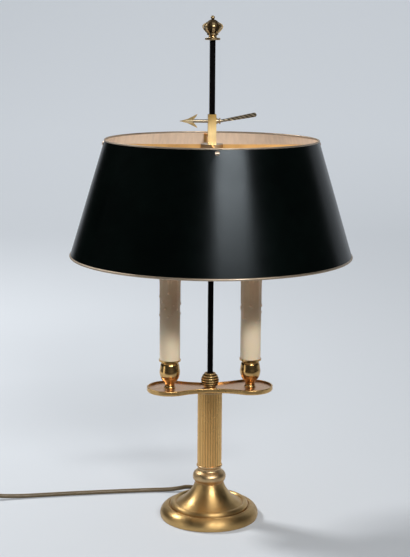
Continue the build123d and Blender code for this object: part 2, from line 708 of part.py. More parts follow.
def lead(side):
    """A wire from the lampholder, under the tray's floor and down the tie rod to the foot."""
    x_light = side * LIGHT_OFFSET
    x_rod = side * LEAD_SPACING / 2
    route = FilletPolyline(
        (x_light, 0, CONTACT_BOTTOM),
        (x_light, 0, LEAD_CHANNEL_HEIGHT),
        (x_rod, 0, LEAD_CHANNEL_HEIGHT),
        (x_rod, 0, LEAD_HEIGHT_IN_FOOT),
        (x_rod, TERMINAL_START, LEAD_HEIGHT_IN_FOOT),
        radius=[LEAD_BEND_RADIUS, LEAD_SPACING / 2 - 0.1 + LEAD_RADIUS, LEAD_BEND_RADIUS],
    )
    section = Plane(route @ 0, z_dir=route % 0) * Circle(LEAD_RADIUS)
    return sweep(section, route)


def terminal_block():
    half = TERMINAL_WIDTH / 2
    body = block(
        -half,
        half,
        TERMINAL_START,
        TERMINAL_START + TERMINAL_LENGTH,
        FELT_THICKNESS,
        FELT_THICKNESS + TERMINAL_HEIGHT,
    )
    for x in (-TERMINAL_WIDTH / 4, TERMINAL_WIDTH / 4):
        top = FELT_THICKNESS + TERMINAL_HEIGHT
        body -= post(1.4, top - 1.5, top + 1, x, TERMINAL_START + TERMINAL_LENGTH / 2)
    return body


# ---------------------------------------------------------------- shade and its slide


def slide_sleeve():
    """A square tube that runs on the square stem, tapped on its right for the clamp screw."""
    outer = SLEEVE_SIDE / 2
    inner = STEM_SIDE / 2 + RUNNING_FIT
    sleeve = block(-outer, outer, -outer, outer, SLEEVE_BOTTOM, SLEEVE_TOP)
    sleeve -= block(-inner, inner, -inner, inner, SLEEVE_BOTTOM - 1, SLEEVE_TOP + 1)
    hole = Pos(outer, 0, ARROW_HEIGHT) * Rot(0, 90, 0) * Cylinder(CLAMP_RADIUS + RUNNING_FIT, SLEEVE_SIDE)
    return sleeve - hole


def clamp_screw():
    """Threaded shank and spool collar, turned about the arrow's axis."""
    tip = STEM_SIDE / 2 + CLAMP_TIP_GAP
    start = SLEEVE_SIDE / 2 + SPOOL_GAP
    end = start + SPOOL_LENGTH
    rim = 1.1
    outline = Polyline(
        (0, tip),
        (CLAMP_RADIUS, tip),
        (CLAMP_RADIUS, start),
        (SPOOL_RADIUS, start),
        (SPOOL_RADIUS, start + rim),
    )
    outline += ThreePointArc(
        (SPOOL_RADIUS, start + rim),
        (SPOOL_WAIST_RADIUS, (start + end) / 2),
        (SPOOL_RADIUS, end - rim),
    )
    outline += Polyline((SPOOL_RADIUS, end - rim), (SPOOL_RADIUS, end), (0, end), (0, tip))
    return Pos(0, 0, ARROW_HEIGHT) * Rot(0, 90, 0) * turned(outline)


def feather_lever():
    """The arrow's tail: a rod that rises from the spool and broadens into a fletched feather."""
    start = SLEEVE_SIDE / 2 + SPOOL_GAP + SPOOL_LENGTH
    rod_end = LEVER_LENGTH - FEATHER_LENGTH
    rod = Rot(0, 90, 0) * post(LEVER_ROD_RADIUS, -1.0, rod_end + 2)
    root = FEATHER_ROOT_HEIGHT / 2
    tip = FEATHER_TIP_HEIGHT / 2
    outline = Polyline((LEVER_LENGTH - tip, -tip), (rod_end + 2, -root), (rod_end, 0), (rod_end + 2, root))
    outline += Line((rod_end + 2, root), (LEVER_LENGTH - tip, tip))
    outline += ThreePointArc((LEVER_LENGTH - tip, tip), (LEVER_LENGTH, 0), (LEVER_LENGTH - tip, -tip))
    feather = extrude(Plane.XZ * make_face(outline), FEATHER_THICKNESS / 2, both=True)
    pitch = (FEATHER_LENGTH - 5) / FEATHER_GROOVES
    for k in range(FEATHER_GROOVES):
        x = rod_end + 4 + k * pitch
        for half in (-1, 1):
            for face in (-1, 1):
                place = Pos(x, face * FEATHER_THICKNESS / 2, half * tip)
                feather -= place * Rot(0, half * 45, 0) * Box(0.5, 0.6, 4.4)
    lever = Pos(start, 0, ARROW_HEIGHT) * Rot(0, -LEVER_RISE_ANGLE, 0) * (rod + feather)
    return lever - block(0, start, -5, 5, ARROW_HEIGHT - 10, ARROW_HEIGHT + 10)


def arrow_head():
    """A barbed head on a round shank that ends on the sleeve's left face."""
    outer = SLEEVE_SIDE / 2
    notch = BARB_REACH + 5.2
    plate = make_face(
        Polyline(
            (-ARROW_REACH, 0),
            (-ARROW_REACH + 9, 2.4),
            (-BARB_REACH, BARB_SPREAD),
            (-BARB_REACH - 1.2, BARB_SPREAD - 2.6),
            (-notch, 0.8),
            (-notch, -0.8),
            (-BARB_REACH - 1.2, 2.6 - BARB_SPREAD),
            (-BARB_REACH, -BARB_SPREAD),
            (-ARROW_REACH + 9, -2.4),
            (-ARROW_REACH, 0),
        )
    )
    head = extrude(Plane.XZ * plate, HEAD_THICKNESS / 2, both=True)
    ridge_length = ARROW_REACH - notch
    ridge = Pos(-notch - ridge_length / 2, 0, 0) * Rot(0, -90, 0) * Cone(HEAD_THICKNESS, 0.3, ridge_length)
    shank_length = notch + 1 - outer
    shank = Pos(-outer - shank_length / 2, 0, 0) * Rot(0, 90, 0) * Cylinder(SHANK_RADIUS, shank_length)
    return Pos(0, 0, ARROW_HEIGHT) * (head + ridge + shank)


def shade_radius(height):
    """The shade's outer radius at a height."""
    return SHADE_TOP_RADIUS + (SHADE_TOP_HEIGHT - height) * math.tan(math.radians(SHADE_SLOPE))


def on_wall(angle, height, depth=0.0):
    """A place on the shade's outer wall whose +Z points straight out of the wall."""
    lean = Rot(0, 90 - SHADE_SLOPE, 0)
    return Rot(0, 0, angle) * Pos(shade_radius(height), 0, height) * lean * Pos(0, 0, -depth)


ARM_ANGLES = turns(ARM_COUNT, SPIDER_TURN)
EAR_FACE_DEPTH = SHADE_SHEET + LOOSE_FIT
NUT_FACE_DEPTH = EAR_FACE_DEPTH + EAR_THICKNESS


def shade_section():
    """The sheet's slanted section."""
    return make_face(
        Polyline(
            (SHADE_TOP_RADIUS, SHADE_TOP_HEIGHT),
            (SHADE_BOTTOM_RADIUS, SHADE_BOTTOM_HEIGHT),
            (SHADE_BOTTOM_RADIUS - SHEET_ACROSS, SHADE_BOTTOM_HEIGHT),
            (SHADE_TOP_RADIUS - SHEET_ACROSS, SHADE_TOP_HEIGHT),
            (SHADE_TOP_RADIUS, SHADE_TOP_HEIGHT),
        )
    )


def shade_shell():
    shell = revolve(Plane.XZ * shade_section(), Axis.Z)
    for angle in ARM_ANGLES:
        shell -= on_wall(angle, SHADE_SCREW_HEIGHT) * Cylinder(SCREW_RADIUS + LOOSE_FIT, 6)
    return shell


def shade_bead(radius, height, wire, side):
    """A wire rolled round the sheet's edge; the sheet enters it from above, or from below at side -1."""
    slope = math.radians(SHADE_SLOPE)
    along = Vector(-side * math.sin(slope), side * math.cos(slope))
    centre = Vector(radius - SHEET_ACROSS / 2, height)

    def leaves(across):
        """Where a face of the sheet comes out of the wire."""
        offset = Vector(across, 0)
        reach = -offset.dot(along) + math.sqrt(offset.dot(along) ** 2 + wire**2 - across**2)
        return centre + offset + along * reach

    outer, inner = SHEET_ACROSS / 2, -SHEET_ACROSS / 2
    section = Polyline(leaves(inner), centre + Vector(inner, 0), centre + Vector(outer, 0), leaves(outer))
    section += ThreePointArc(leaves(outer), centre - along * wire, leaves(inner))
    return turned(section)


def spider_hub():
    """The round hub that carries the arms, soldered round the square sleeve."""
    half = SLEEVE_SIDE / 2
    hub = post(HUB_RADIUS, HUB_BOTTOM, HUB_BOTTOM + HUB_THICKNESS)
    return hub - block(-half, half, -half, half, HUB_BOTTOM - 1, HUB_BOTTOM + HUB_THICKNESS + 1)


def spider_arm(angle):
    """A strip on edge from the hub to the wall, ending in an ear that lies along the wall."""
    skew = math.cos(math.radians(SHADE_SLOPE))

    def ear_back(height):
        return shade_radius(height) - (NUT_FACE_DEPTH - 0.2) / skew

    notch_height = (ARM_BOTTOM + ARM_TOP) / 2
    notch_radius = ear_back(ARM_TOP) - EAR_NOTCH
    outline = Polyline(
        (SLEEVE_SIDE / 2, ARM_BOTTOM),
        (ear_back(ARM_BOTTOM), ARM_BOTTOM),
        (ear_back(notch_height), notch_height),
        (notch_radius + 2, notch_height),
        (notch_radius, ARM_TOP),
        (SLEEVE_SIDE / 2, ARM_TOP),
        (SLEEVE_SIDE / 2, ARM_BOTTOM),
    )
    strip = extrude(Plane.XZ * make_face(outline), ARM_THICKNESS / 2, both=True)
    ear_middle = (ARM_BOTTOM + SHADE_SCREW_HEIGHT + SCREW_HEAD_RADIUS) / 2
    plate = Box(EAR_LENGTH, EAR_WIDTH, EAR_THICKNESS)
    ear = on_wall(0, ear_middle, EAR_FACE_DEPTH + EAR_THICKNESS / 2) * plate
    arm = Rot(0, 0, angle) * (strip + ear)
    arm -= on_wall(angle, SHADE_SCREW_HEIGHT) * Cylinder(SCREW_RADIUS + LOOSE_FIT, 12)
    return arm - post(HUB_RADIUS, HUB_BOTTOM - 5, HUB_BOTTOM + HUB_THICKNESS + 5)


def shade_screw(angle):
    """A domed, slotted screw through the shade and the arm's ear."""
    dome_radius = (SCREW_HEAD_RADIUS**2 + SCREW_HEAD_HEIGHT**2) / (2 * SCREW_HEAD_HEIGHT)
    outline = Line((0, 0), (SCREW_HEAD_RADIUS, 0))
    rise = SCREW_HEAD_HEIGHT - dome_radius + math.sqrt(dome_radius**2 - (0.6 * SCREW_HEAD_RADIUS) ** 2)
    outline += ThreePointArc((SCREW_HEAD_RADIUS, 0), (0.6 * SCREW_HEAD_RADIUS, rise), (0, SCREW_HEAD_HEIGHT))
    outline += Line((0, SCREW_HEAD_HEIGHT), (0, 0))
    screw = turned(outline) + post(SCREW_RADIUS, -NUT_FACE_DEPTH - SHADE_NUT_THICKNESS - 0.8, 0)
    screw -= Pos(0, 0, SCREW_HEAD_HEIGHT) * Box(SCREW_SLOT, 2 * SCREW_HEAD_RADIUS, 1.4)
    return on_wall(angle, SHADE_SCREW_HEIGHT) * screw


def shade_nut(angle):
    body = nut(SHADE_NUT_FLATS, SCREW_RADIUS + LOOSE_FIT, -SHADE_NUT_THICKNESS, 0)
    return on_wall(angle, SHADE_SCREW_HEIGHT, NUT_FACE_DEPTH) * body


# ---------------------------------------------------------------- cord


def relief_centre():
    return Vector(-RELIEF_BEND_RADIUS, RELIEF_START, CORD_EXIT_HEIGHT)


def relief_point(angle):
    """A point of the relief's bend, and the way it heads there."""
    a = math.radians(angle)
    centre = relief_centre()
    point = centre + Vector(RELIEF_BEND_RADIUS * math.cos(a), RELIEF_BEND_RADIUS * math.sin(a), 0)
    return point, Vector(-math.sin(a), math.cos(a), 0)


def cord_relief():
    """A rubber relief: a barrel in the wall, a flange, and ribs that taper along its bend."""
    start, heading = relief_point(0)
    start_plane = Plane(start, z_dir=heading)
    barrel = start_plane * post(RELIEF_BARREL_RADIUS, -RELIEF_INNER_LENGTH, 0.5)
    flange = start_plane * post(RELIEF_FLANGE_RADIUS, -1.2, RELIEF_FLANGE_THICKNESS)
    bend = CenterArc(relief_centre(), RELIEF_BEND_RADIUS, 0, RELIEF_BEND_ANGLE)
    core = sweep(start_plane * Circle(RELIEF_CORE_RADIUS), bend)
    outside = (flange - nodes["base_foot"]).solids().sort_by(SortBy.VOLUME)[-1]
    relief = barrel + outside + core
    for k in range(1, RELIEF_RIBS):
        share = k / RELIEF_RIBS
        point, heading = relief_point(share * RELIEF_BEND_ANGLE)
        radius = RELIEF_FLANGE_RADIUS + share * (RELIEF_CORE_RADIUS - RELIEF_FLANGE_RADIUS) * 0.9
        half = RELIEF_RIB_LENGTH / 2
        relief += Plane(point, z_dir=heading) * post(radius, -half, half)
    return relief


def inner_cord():
    """The cord's end inside the foot, from the relief to the terminal block."""
    length = RELIEF_START - RELIEF_INNER_LENGTH - TERMINAL_START - TERMINAL_LENGTH
    start = Pos(0, TERMINAL_START + TERMINAL_LENGTH, CORD_EXIT_HEIGHT) * Rot(-90, 0, 0)
    return start * post(CORD_RADIUS, 0, length)


def bend_radii(points):
    """The largest tangent arc at each corner: 0.45 of the shorter run over tan(half turn)."""
    radii = []
    for before, corner, after in zip(points, points[1:], points[2:]):
        first = Vector(corner) - Vector(before)
        second = Vector(after) - Vector(corner)
        half_turn = math.radians(first.get_angle(second)) / 2
        radii.append(0.45 * min(first.length, second.length) / math.tan(half_turn))
    return radii


def cord_tube(name, points):
    """A cord of straight runs and tangent arcs along its route."""
    radii = bend_radii(points)
    route = FilletPolyline(*points, radius=radii)
    tube = sweep(Plane(route @ 0, z_dir=route % 0) * Circle(CORD_RADIUS), route)
    expected = math.pi * CORD_RADIUS**2 * route.length
    print(
        f"{name}: length {route.length:.1f}, smallest radius {min(radii):.1f},"
        f" radii {[round(r) for r in radii]}, volume over section x length {tube.volume / expected:.4f}"
    )
    return tube


RELIEF_END, RELIEF_HEADING = relief_point(RELIEF_BEND_ANGLE)
SWITCH_START_X = SWITCH_CENTRE[0] + SWITCH_LENGTH / 2
SWITCH_END_X = SWITCH_CENTRE[0] - SWITCH_LENGTH / 2
COIL_OUTER_TURN = COIL_MEAN_RADIUS + (COIL_ROWS - 1) / 2 * CORD_DIAMETER
COIL_HEIGHT = COIL_LAYERS * CORD_DIAMETER
LINK_Y = COIL_CENTRE[1] - COIL_OUTER_TURN
LAST_TURN_Y = COIL_CENTRE[1] + COIL_OUTER_TURN
LAST_TURN_HEIGHT = COIL_HEIGHT - CORD_RADIUS
FLOOR_HEIGHT = CORD_RADIUS + 0.05

FEED_ROUTE = [
    tuple(RELIEF_END),
    tuple(RELIEF_END + RELIEF_HEADING * FEED_START_LENGTH),
    (-27.6, 84.6, 5.6),
    (-41.0, 84.8, 3.7),
    (-66.0, 83.0, FLOOR_HEIGHT),
    (-100.0, 81.4, FLOOR_HEIGHT),
    (-143.0, 78.7, FLOOR_HEIGHT),
    (-184.0, 75.4, FLOOR_HEIGHT),
    (-216.0, 72.0, FLOOR_HEIGHT),
    (-238.0, 69.6, 3.6),
    (-254.0, SWITCH_CENTRE[1], SWITCH_CORD_HEIGHT),
    (SWITCH_START_X - SWITCH_CORD_GRIP, SWITCH_CENTRE[1], SWITCH_CORD_HEIGHT),
]
LINK_ROUTE = [
    (SWITCH_END_X + SWITCH_CORD_GRIP, SWITCH_CENTRE[1], SWITCH_CORD_HEIGHT),
    (-330.5, SWITCH_CENTRE[1], SWITCH_CORD_HEIGHT),
    (-341.0, LINK_Y, FLOOR_HEIGHT),
    (COIL_CENTRE[0] + COIL_STUB_LENGTH, LINK_Y, FLOOR_HEIGHT),
]
TAIL_ROUTE = [
    (COIL_CENTRE[0] + COIL_STUB_LENGTH, LAST_TURN_Y, LAST_TURN_HEIGHT),
    (COIL_CENTRE[0] + COIL_STUB_LENGTH + 9.0, LAST_TURN_Y, LAST_TURN_HEIGHT),
    (-327.0, PLUG_AXIS_Y + 0.4, 9.6),
    (PLUG_START_X - 9.0, PLUG_AXIS_Y, PLUG_HEIGHT),
    (PLUG_START_X, PLUG_AXIS_Y, PLUG_HEIGHT),
]


def cord_coil():
    """The wound length as one closed ring, with the stubs where the cord joins and leaves it."""
    half_width = COIL_ROWS * CORD_DIAMETER / 2
    x, y = COIL_CENTRE
    ring = post(COIL_MEAN_RADIUS + half_width, 0, COIL_HEIGHT)
    ring -= post(COIL_MEAN_RADIUS - half_width, -1, COIL_HEIGHT + 1)
    ring = fillet(ring.edges().filter_by(GeomType.CIRCLE), CORD_RADIUS * 0.9)
    stub = Rot(0, 90, 0) * post(CORD_RADIUS, 0, COIL_STUB_LENGTH)
    ring = Pos(x, y, 0) * ring
    ring += Pos(x, LINK_Y, FLOOR_HEIGHT) * stub
    ring += Pos(x, LAST_TURN_Y, LAST_TURN_HEIGHT) * stub
    return ring


# ---------------------------------------------------------------- in-line switch and plug


def switch_half(bottom, top):
    """One half of the switch housing, hollowed, with posts for its screws."""
    outline = RectangleRounded(SWITCH_LENGTH, SWITCH_WIDTH, SWITCH_END_RADIUS)
    room_length = SWITCH_LENGTH - 2 * SWITCH_WALL
    room_width = SWITCH_WIDTH - 2 * SWITCH_WALL
    room = RectangleRounded(room_length, room_width, SWITCH_END_RADIUS - SWITCH_WALL)
    upper = bottom > 0
    room_bottom = bottom if upper else bottom + SWITCH_WALL
    room_top = top - SWITCH_WALL if upper else top
    half = Pos(0, 0, bottom) * extrude(outline, top - bottom)
    outer_face = half.faces().sort_by(Axis.Z)[-1 if upper else 0]
    half = fillet(outer_face.edges(), 1.6)
    half -= Pos(0, 0, room_bottom) * extrude(room, room_top - room_bottom)
    for side in (-1, 1):
        half += post(SWITCH_POST_RADIUS, room_bottom, room_top, side * SWITCH_POST_X, -side * SWITCH_POST_Y)
    return Pos(*SWITCH_CENTRE, 0) * half


def at_screws(solid):
    """The switch's two screw places, on opposite corners."""
    x, y = SWITCH_CENTRE
    return [Pos(x + side * SWITCH_POST_X, y - side * SWITCH_POST_Y, 0) * solid for side in (-1, 1)]


def switch_screw_solid(grow):
    head_top = 1.4
    screw = post(SWITCH_SCREW_HEAD_RADIUS + grow, 0.3 if grow == 0 else -1, head_top + grow)
    return screw + post(SWITCH_SCREW_RADIUS + grow, head_top, SWITCH_SCREW_LENGTH + grow)


def switch_lower():
    """The lower half, with a slot at each end that the cord is laid into."""
    lower = switch_half(0, SWITCH_HALF_HEIGHT)
    reach = CORD_RADIUS + LOOSE_FIT
    slot = block(-SWITCH_LENGTH, SWITCH_LENGTH, -reach, reach, SWITCH_CORD_HEIGHT, SWITCH_HEIGHT)
    slot += Pos(0, 0, SWITCH_CORD_HEIGHT) * Rot(0, 90, 0) * Cylinder(reach, 2 * SWITCH_LENGTH)
    lower -= Pos(*SWITCH_CENTRE, 0) * slot
    for hole in at_screws(switch_screw_solid(LOOSE_FIT)):
        lower -= hole
    return lower


def switch_upper():
    """The upper half, with the rocker's window and the ears that hold its pins."""
    x, y = SWITCH_CENTRE
    upper = switch_half(SWITCH_HALF_HEIGHT, SWITCH_HEIGHT)
    reach = ROCKER_LENGTH / 2 + ROCKER_GAP + ROCKER_END_RISE * math.sin(math.radians(ROCKER_TILT))
    side = ROCKER_WIDTH / 2 + ROCKER_GAP
    ear_half, ear_thickness = EAR_BLOCK[0] / 2, EAR_BLOCK[1]
    reach_y = side + ear_thickness
    ear_bottom = ROCKER_AXIS_HEIGHT - ear_half
    ear_top = SWITCH_HEIGHT - SWITCH_WALL
    upper += Pos(x, y, 0) * block(-ear_half, ear_half, -reach_y, reach_y, ear_bottom, ear_top)
    upper -= Pos(x, y, 0) * block(-reach, reach, -side, side, SWITCH_HALF_HEIGHT, SWITCH_HEIGHT + 1)
    pin_hole = Rot(90, 0, 0) * Cylinder(ROCKER_PIN_RADIUS + RUNNING_FIT, 2 * ROCKER_PIN_REACH + 0.4)
    upper -= Pos(x, y, ROCKER_AXIS_HEIGHT) * pin_hole
    for hole in at_screws(switch_screw_solid(LOOSE_FIT)):
        upper -= hole
    return upper


def switch_rocker():
    """A rocker with a shallow valley on top, resting with its far end pressed down."""
    x, y = SWITCH_CENTRE
    half = ROCKER_LENGTH / 2
    outline = Polyline(
        (-half, -ROCKER_DROP),
        (half, -ROCKER_DROP),
        (half, ROCKER_END_RISE),
        (0, ROCKER_MIDDLE_RISE),
        (-half, ROCKER_END_RISE),
        (-half, -ROCKER_DROP),
    )
    rocker = extrude(Plane.XZ * make_face(outline), ROCKER_WIDTH / 2, both=True)
    rocker += Rot(90, 0, 0) * Cylinder(ROCKER_PIN_RADIUS, 2 * ROCKER_PIN_REACH)
    return Pos(x, y, ROCKER_AXIS_HEIGHT) * Rot(0, -ROCKER_TILT, 0) * rocker


def switch_contacts():
    """The two terminals that the cord's ends meet inside the switch."""
    x, y = SWITCH_CENTRE
    length, width, height = CONTACT_BLOCK
    start = SWITCH_LENGTH / 2 - SWITCH_CORD_GRIP
    top = SWITCH_WALL + height + CORD_RADIUS
    terminal = block(start - length, start, -width / 2, width / 2, SWITCH_WALL, top)
    return [Pos(x, y, 0) * terminal, Pos(x, y, 0) * Rot(0, 0, 180) * terminal]


def plug_body():
    """A flat two-pin plug body that narrows to its cord grip."""
    x0 = PLUG_START_X
    grip_end = x0 + PLUG_GRIP_LENGTH
    end = x0 + PLUG_BODY_LENGTH
    grip = CORD_RADIUS + 1.6
    wide = PLUG_BODY_WIDTH / 2
    flank = [(x0, grip), (grip_end - 3, grip + 0.6), (grip_end + 6, wide - 2), (end, wide)]
    outline = Polyline(*flank, *[(x, -y) for x, y in reversed(flank)], flank[0])
    body = extrude(make_face(outline), PLUG_BODY_THICKNESS / 2, both=True)
    body = chamfer(body.edges().filter_by(GeomType.LINE).filter_by(Axis.Z, reverse=True), 1.2)
    body = Pos(0, PLUG_AXIS_Y, PLUG_HEIGHT) * body
    return body


def plug_pins():
    start = PLUG_START_X + PLUG_BODY_LENGTH
    pin = Rot(0, 90, 0) * post(PIN_RADIUS, 0, PIN_LENGTH)
    pin = fillet(pin.edges().sort_by(Axis.X)[-1], 1.2)
    half = PIN_SPACING / 2
    return [Pos(start, PLUG_AXIS_Y + side * half, PLUG_HEIGHT) * pin for side in (-1, 1)]


# ---------------------------------------------------------------- build

nodes["base_foot"] = base_foot()
nodes["felt_pad"] = felt_pad()
nodes["base_weight"] = base_weight()
nodes["tie_rod"] = tie_rod()
nodes["rod_washer"] = rod_washer()
nodes["rod_nut"] = nut(NUT_FLATS, ROD_RADIUS + LOOSE_FIT, NUT_BOTTOM, NUT_TOP)
nodes["base_collar"] = base_collar()
nodes["fluted_column"] = fluted_column()
nodes["column_cap"] = column_cap()
nodes["candle_tray"] = candle_tray()
nodes["tray_underplate"] = tray_underplate()
nodes["stem_ball"] = stem_ball()
nodes["stem"] = stem()
nodes["finial_base"] = finial_base()
nodes["finial_crown"] = finial_crown()
nodes["finial_orb"] = finial_orb()
for side_name, side_sign in LIGHTS.items():
    light_x = side_sign * LIGHT_OFFSET
    for make in (
        candle_cup, cup_nut, holder_tube, lampholder, holder_contact, candle_cover, bulb_cap, bulb_glass
    ):
        nodes[f"{make.__name__}_{side_name}"] = make(light_x)
    nodes[f"lead_{side_name}"] = lead(side_sign)
nodes["terminal_block"] = terminal_block()
nodes["slide_sleeve"] = slide_sleeve()
nodes["arrow_head"] = arrow_head()
nodes["clamp_screw"] = clamp_screw()
nodes["feather_lever"] = feather_lever()
nodes["shade_shell"] = shade_shell()
nodes["shade_top_bead"] = shade_bead(SHADE_TOP_RADIUS, SHADE_TOP_HEIGHT, TOP_BEAD_RADIUS, -1)
nodes["shade_bottom_bead"] = shade_bead(SHADE_BOTTOM_RADIUS, SHADE_BOTTOM_HEIGHT, BOTTOM_BEAD_RADIUS, 1)
nodes["spider_hub"] = spider_hub()
nodes["spider_arms"] = [spider_arm(angle) for angle in ARM_ANGLES]
nodes["shade_screws"] = [shade_screw(angle) for angle in ARM_ANGLES]
nodes["shade_nuts"] = [shade_nut(angle) for angle in ARM_ANGLES]
nodes["cord_relief"] = cord_relief()
nodes["inner_cord"] = inner_cord()
nodes["cord_feed"] = cord_tube("cord_feed", FEED_ROUTE)
nodes["cord_link"] = cord_tube("cord_link", LINK_ROUTE)
nodes["cord_coil"] = cord_coil()
nodes["cord_tail"] = cord_tube("cord_tail", TAIL_ROUTE)
nodes["switch_lower"] = switch_lower()
nodes["switch_upper"] = switch_upper()
nodes["switch_rocker"] = switch_rocker()
nodes["switch_contacts"] = switch_contacts()
nodes["switch_screws"] = at_screws(switch_screw_solid(0))
nodes["plug_body"] = plug_body()
nodes["plug_pins"] = plug_pins()

os.makedirs("parts", exist_ok=True)
for name, shape in nodes.items():
    if isinstance(shape, list):
        shape = Compound(children=[solid for item in shape for solid in item.solids()])
    export_step(shape, f"parts/{name}.step")
print(len(nodes), "nodes")
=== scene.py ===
"""Finishes, candles, cord and stage of a two-light bouillotte lamp, over its solid frame."""

import math
import random

import bpy
from bpy.props import FloatProperty, FloatVectorProperty, IntProperty, PointerProperty
from mathutils import Matrix, Vector


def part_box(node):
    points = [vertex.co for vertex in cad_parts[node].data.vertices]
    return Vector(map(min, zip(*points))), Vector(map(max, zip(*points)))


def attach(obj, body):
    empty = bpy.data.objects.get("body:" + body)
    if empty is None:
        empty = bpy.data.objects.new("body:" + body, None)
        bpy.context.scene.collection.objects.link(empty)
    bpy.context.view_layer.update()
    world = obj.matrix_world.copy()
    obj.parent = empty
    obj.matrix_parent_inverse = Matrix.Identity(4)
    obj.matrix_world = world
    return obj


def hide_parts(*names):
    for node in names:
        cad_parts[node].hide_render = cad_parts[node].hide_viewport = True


bl_info = {
    "name": "Bouillotte Lamp",
    "version": (1, 0, 0),
    "blender": (4, 5, 0),
    "location": "3D View > Sidebar > Lamp",
    "description": "Finishes, candles, cord and stage of a two-light bouillotte lamp",
    "category": "Add Mesh",
}

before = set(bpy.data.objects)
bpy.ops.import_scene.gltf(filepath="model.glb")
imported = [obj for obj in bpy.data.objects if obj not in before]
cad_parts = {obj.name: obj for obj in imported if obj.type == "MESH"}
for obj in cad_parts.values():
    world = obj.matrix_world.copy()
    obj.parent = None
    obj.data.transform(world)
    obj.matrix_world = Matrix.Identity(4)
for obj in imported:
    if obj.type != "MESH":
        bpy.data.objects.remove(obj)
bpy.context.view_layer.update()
MM = 0.001
SIDES = ("left", "right")

# Colours of single small pieces
COLLAR_BRASS = (0.62, 0.44, 0.24)
FLUTE_TARNISH_AND_SHADE = (0.36, 0.21, 0.07)
BALL_GOLD = (0.66, 0.46, 0.20)
BALL_HOLLOW_SHADE = (0.07, 0.04, 0.015)
SLEEVE_LIT_BRASS = (1.0, 0.80, 0.42)
SLEEVE_SHADED = (0.40, 0.24, 0.05)
CLAMP_BRASS = (0.56, 0.45, 0.30)
SCREW_BRASS = (0.78, 0.62, 0.50)
ARROW_BRASS = (0.66, 0.50, 0.24)
ARROW_RIDGE_HIGHLIGHT = (1.0, 0.85, 0.55)
CROWN_HOLLOW_SHADE = (0.09, 0.06, 0.03)
KNOB_HOLLOW_SHADE = (0.13, 0.08, 0.035)
CONTACT_BRASS = (0.62, 0.46, 0.22)
CONTACT_TARNISH = (0.3, 0.2, 0.1)
STEEL = (0.56, 0.55, 0.52)
STEEL_TARNISH = (0.30, 0.29, 0.26)
NICKEL = (0.62, 0.58, 0.50)
NICKEL_TARNISH = (0.35, 0.32, 0.26)
CAST_IRON = (0.045, 0.043, 0.040)
RUST = (0.12, 0.05, 0.02)
FELT_GREEN = (0.030, 0.075, 0.040)
GLASS = (0.98, 0.98, 0.96)
WIRE_GREY = (0.30, 0.29, 0.28)
HOLDER_IVORY = (0.66, 0.63, 0.56)
LEAD_SHEATH = (0.42, 0.37, 0.27)
RELIEF_RUBBER = (0.16, 0.12, 0.06)
SWITCH_CASE = (0.20, 0.145, 0.065)
ROCKER_PLASTIC = (0.075, 0.055, 0.035)
RUBBED_BAR = (0.006, 0.005, 0.006)
SHADOWED_WAX = (0.50, 0.37, 0.24)
LACQUER_SHINE = (0.80, 0.91, 1.0)

# Where a finish changes, in millimetres. Radii run from the piece's axis or centre, drops down
# from its top, and rods and the ridge's fade across the lamp.
FLUTE_RADII = (13.4, 13.95)
COLUMN_SHADE_DROPS = (31.9, 1.9)
BALL_SEAT_DEPTH = 2.0
BALL_RADII = (9.95, 10.3)
TRAY_RIM_DROPS = (1.1, 0.5)
SLEEVE_SHADE_DROPS = (21, 2)
HEAD_ROD = (-22, 0)
LEVER_ROD = (0, 20)
ROD_HALF_HEIGHTS = (2.0, 2.4)
RIDGE_HALF_HEIGHTS = (0.6, 2.2)
RIDGE_FADE = (-32, -27)
FEATHER_TWIST = 3.6
FEATHER_SLANT = 0.55
CROWN_BELLY_RISE = 9.4
CROWN_RADII = (7.4, 9.6)
KNOB_RADII = (4.0, 9.0)
WAX_SHADOW_DROPS = (61, 33)
WAX_SHADOW_RADII = (12.2, 12.7)


# ---------------------------------------------------------------- sizes and colours


def colour(name, description, default):
    return FloatVectorProperty(
        name=name, description=description, default=default, subtype="COLOR", size=3, min=0, max=1
    )


def length(name, description, default_mm):
    default = default_mm * MM
    return FloatProperty(name=name, description=description, default=default, unit="LENGTH", min=0)


def count(name, description, default):
    return IntProperty(name=name, description=description, default=default, min=0, max=40)


def glow(name, description, default):
    return FloatProperty(name=name, description=description, default=default, min=0, max=1)


def power(name, description, default):
    return FloatProperty(name=name, description=description, default=default, unit="POWER")


class LampBrassSettings(bpy.types.PropertyGroup):
    polished: colour("Polished brass", "Colour of the foot", (0.62, 0.41, 0.17))
    satin: colour("Satin brass", "Colour of the column and the shade's arms", (0.90, 0.55, 0.21))
    # Painted reflection: a pink tint laid on the tray's upward faces
    rose_reflection: colour("Rose brass", "Colour of the tray's floor", (0.72, 0.45, 0.27))
    gold: colour("Golden brass", "Colour of the tray's rim and the cups", (0.68, 0.43, 0.17))
    pale: colour("Pale brass", "Colour of the arrow's rod and feathers", (0.33, 0.28, 0.20))
    old_gold: colour("Old gold", "Colour of the finial's raised parts", (0.52, 0.38, 0.20))
    tarnish: colour("Tarnish", "Colour that brass turns where it isn't rubbed", (0.27, 0.17, 0.07))
    bead: colour("Bead brass", "Colour of the shade's wires", (0.52, 0.42, 0.32))


class LampShadeSettings(bpy.types.PropertyGroup):
    lacquer: colour("Lacquer", "Colour of the shade outside", (0.0006, 0.0016, 0.0013))
    gilt: colour("Gilt", "Colour of the shade inside", (0.96, 0.76, 0.59))
    bar: colour("Bar paint", "Colour of the square bar", (0.0012, 0.0010, 0.0012))


class LampCandleSettings(bpy.types.PropertyGroup):
    wax: colour("Wax", "Colour of the candle covers", (0.86, 0.69, 0.50))
    run_count: count("Runs", "Wax runs on each candle", 13)
    drop_count: count("Drops", "Single wax drops on each candle", 11)
    run_thickness: length("Run thickness", "How far a wax run stands out of the candle", 1.1)
    run_end: length("Run end", "Mean height at which the wax runs stop", 246)


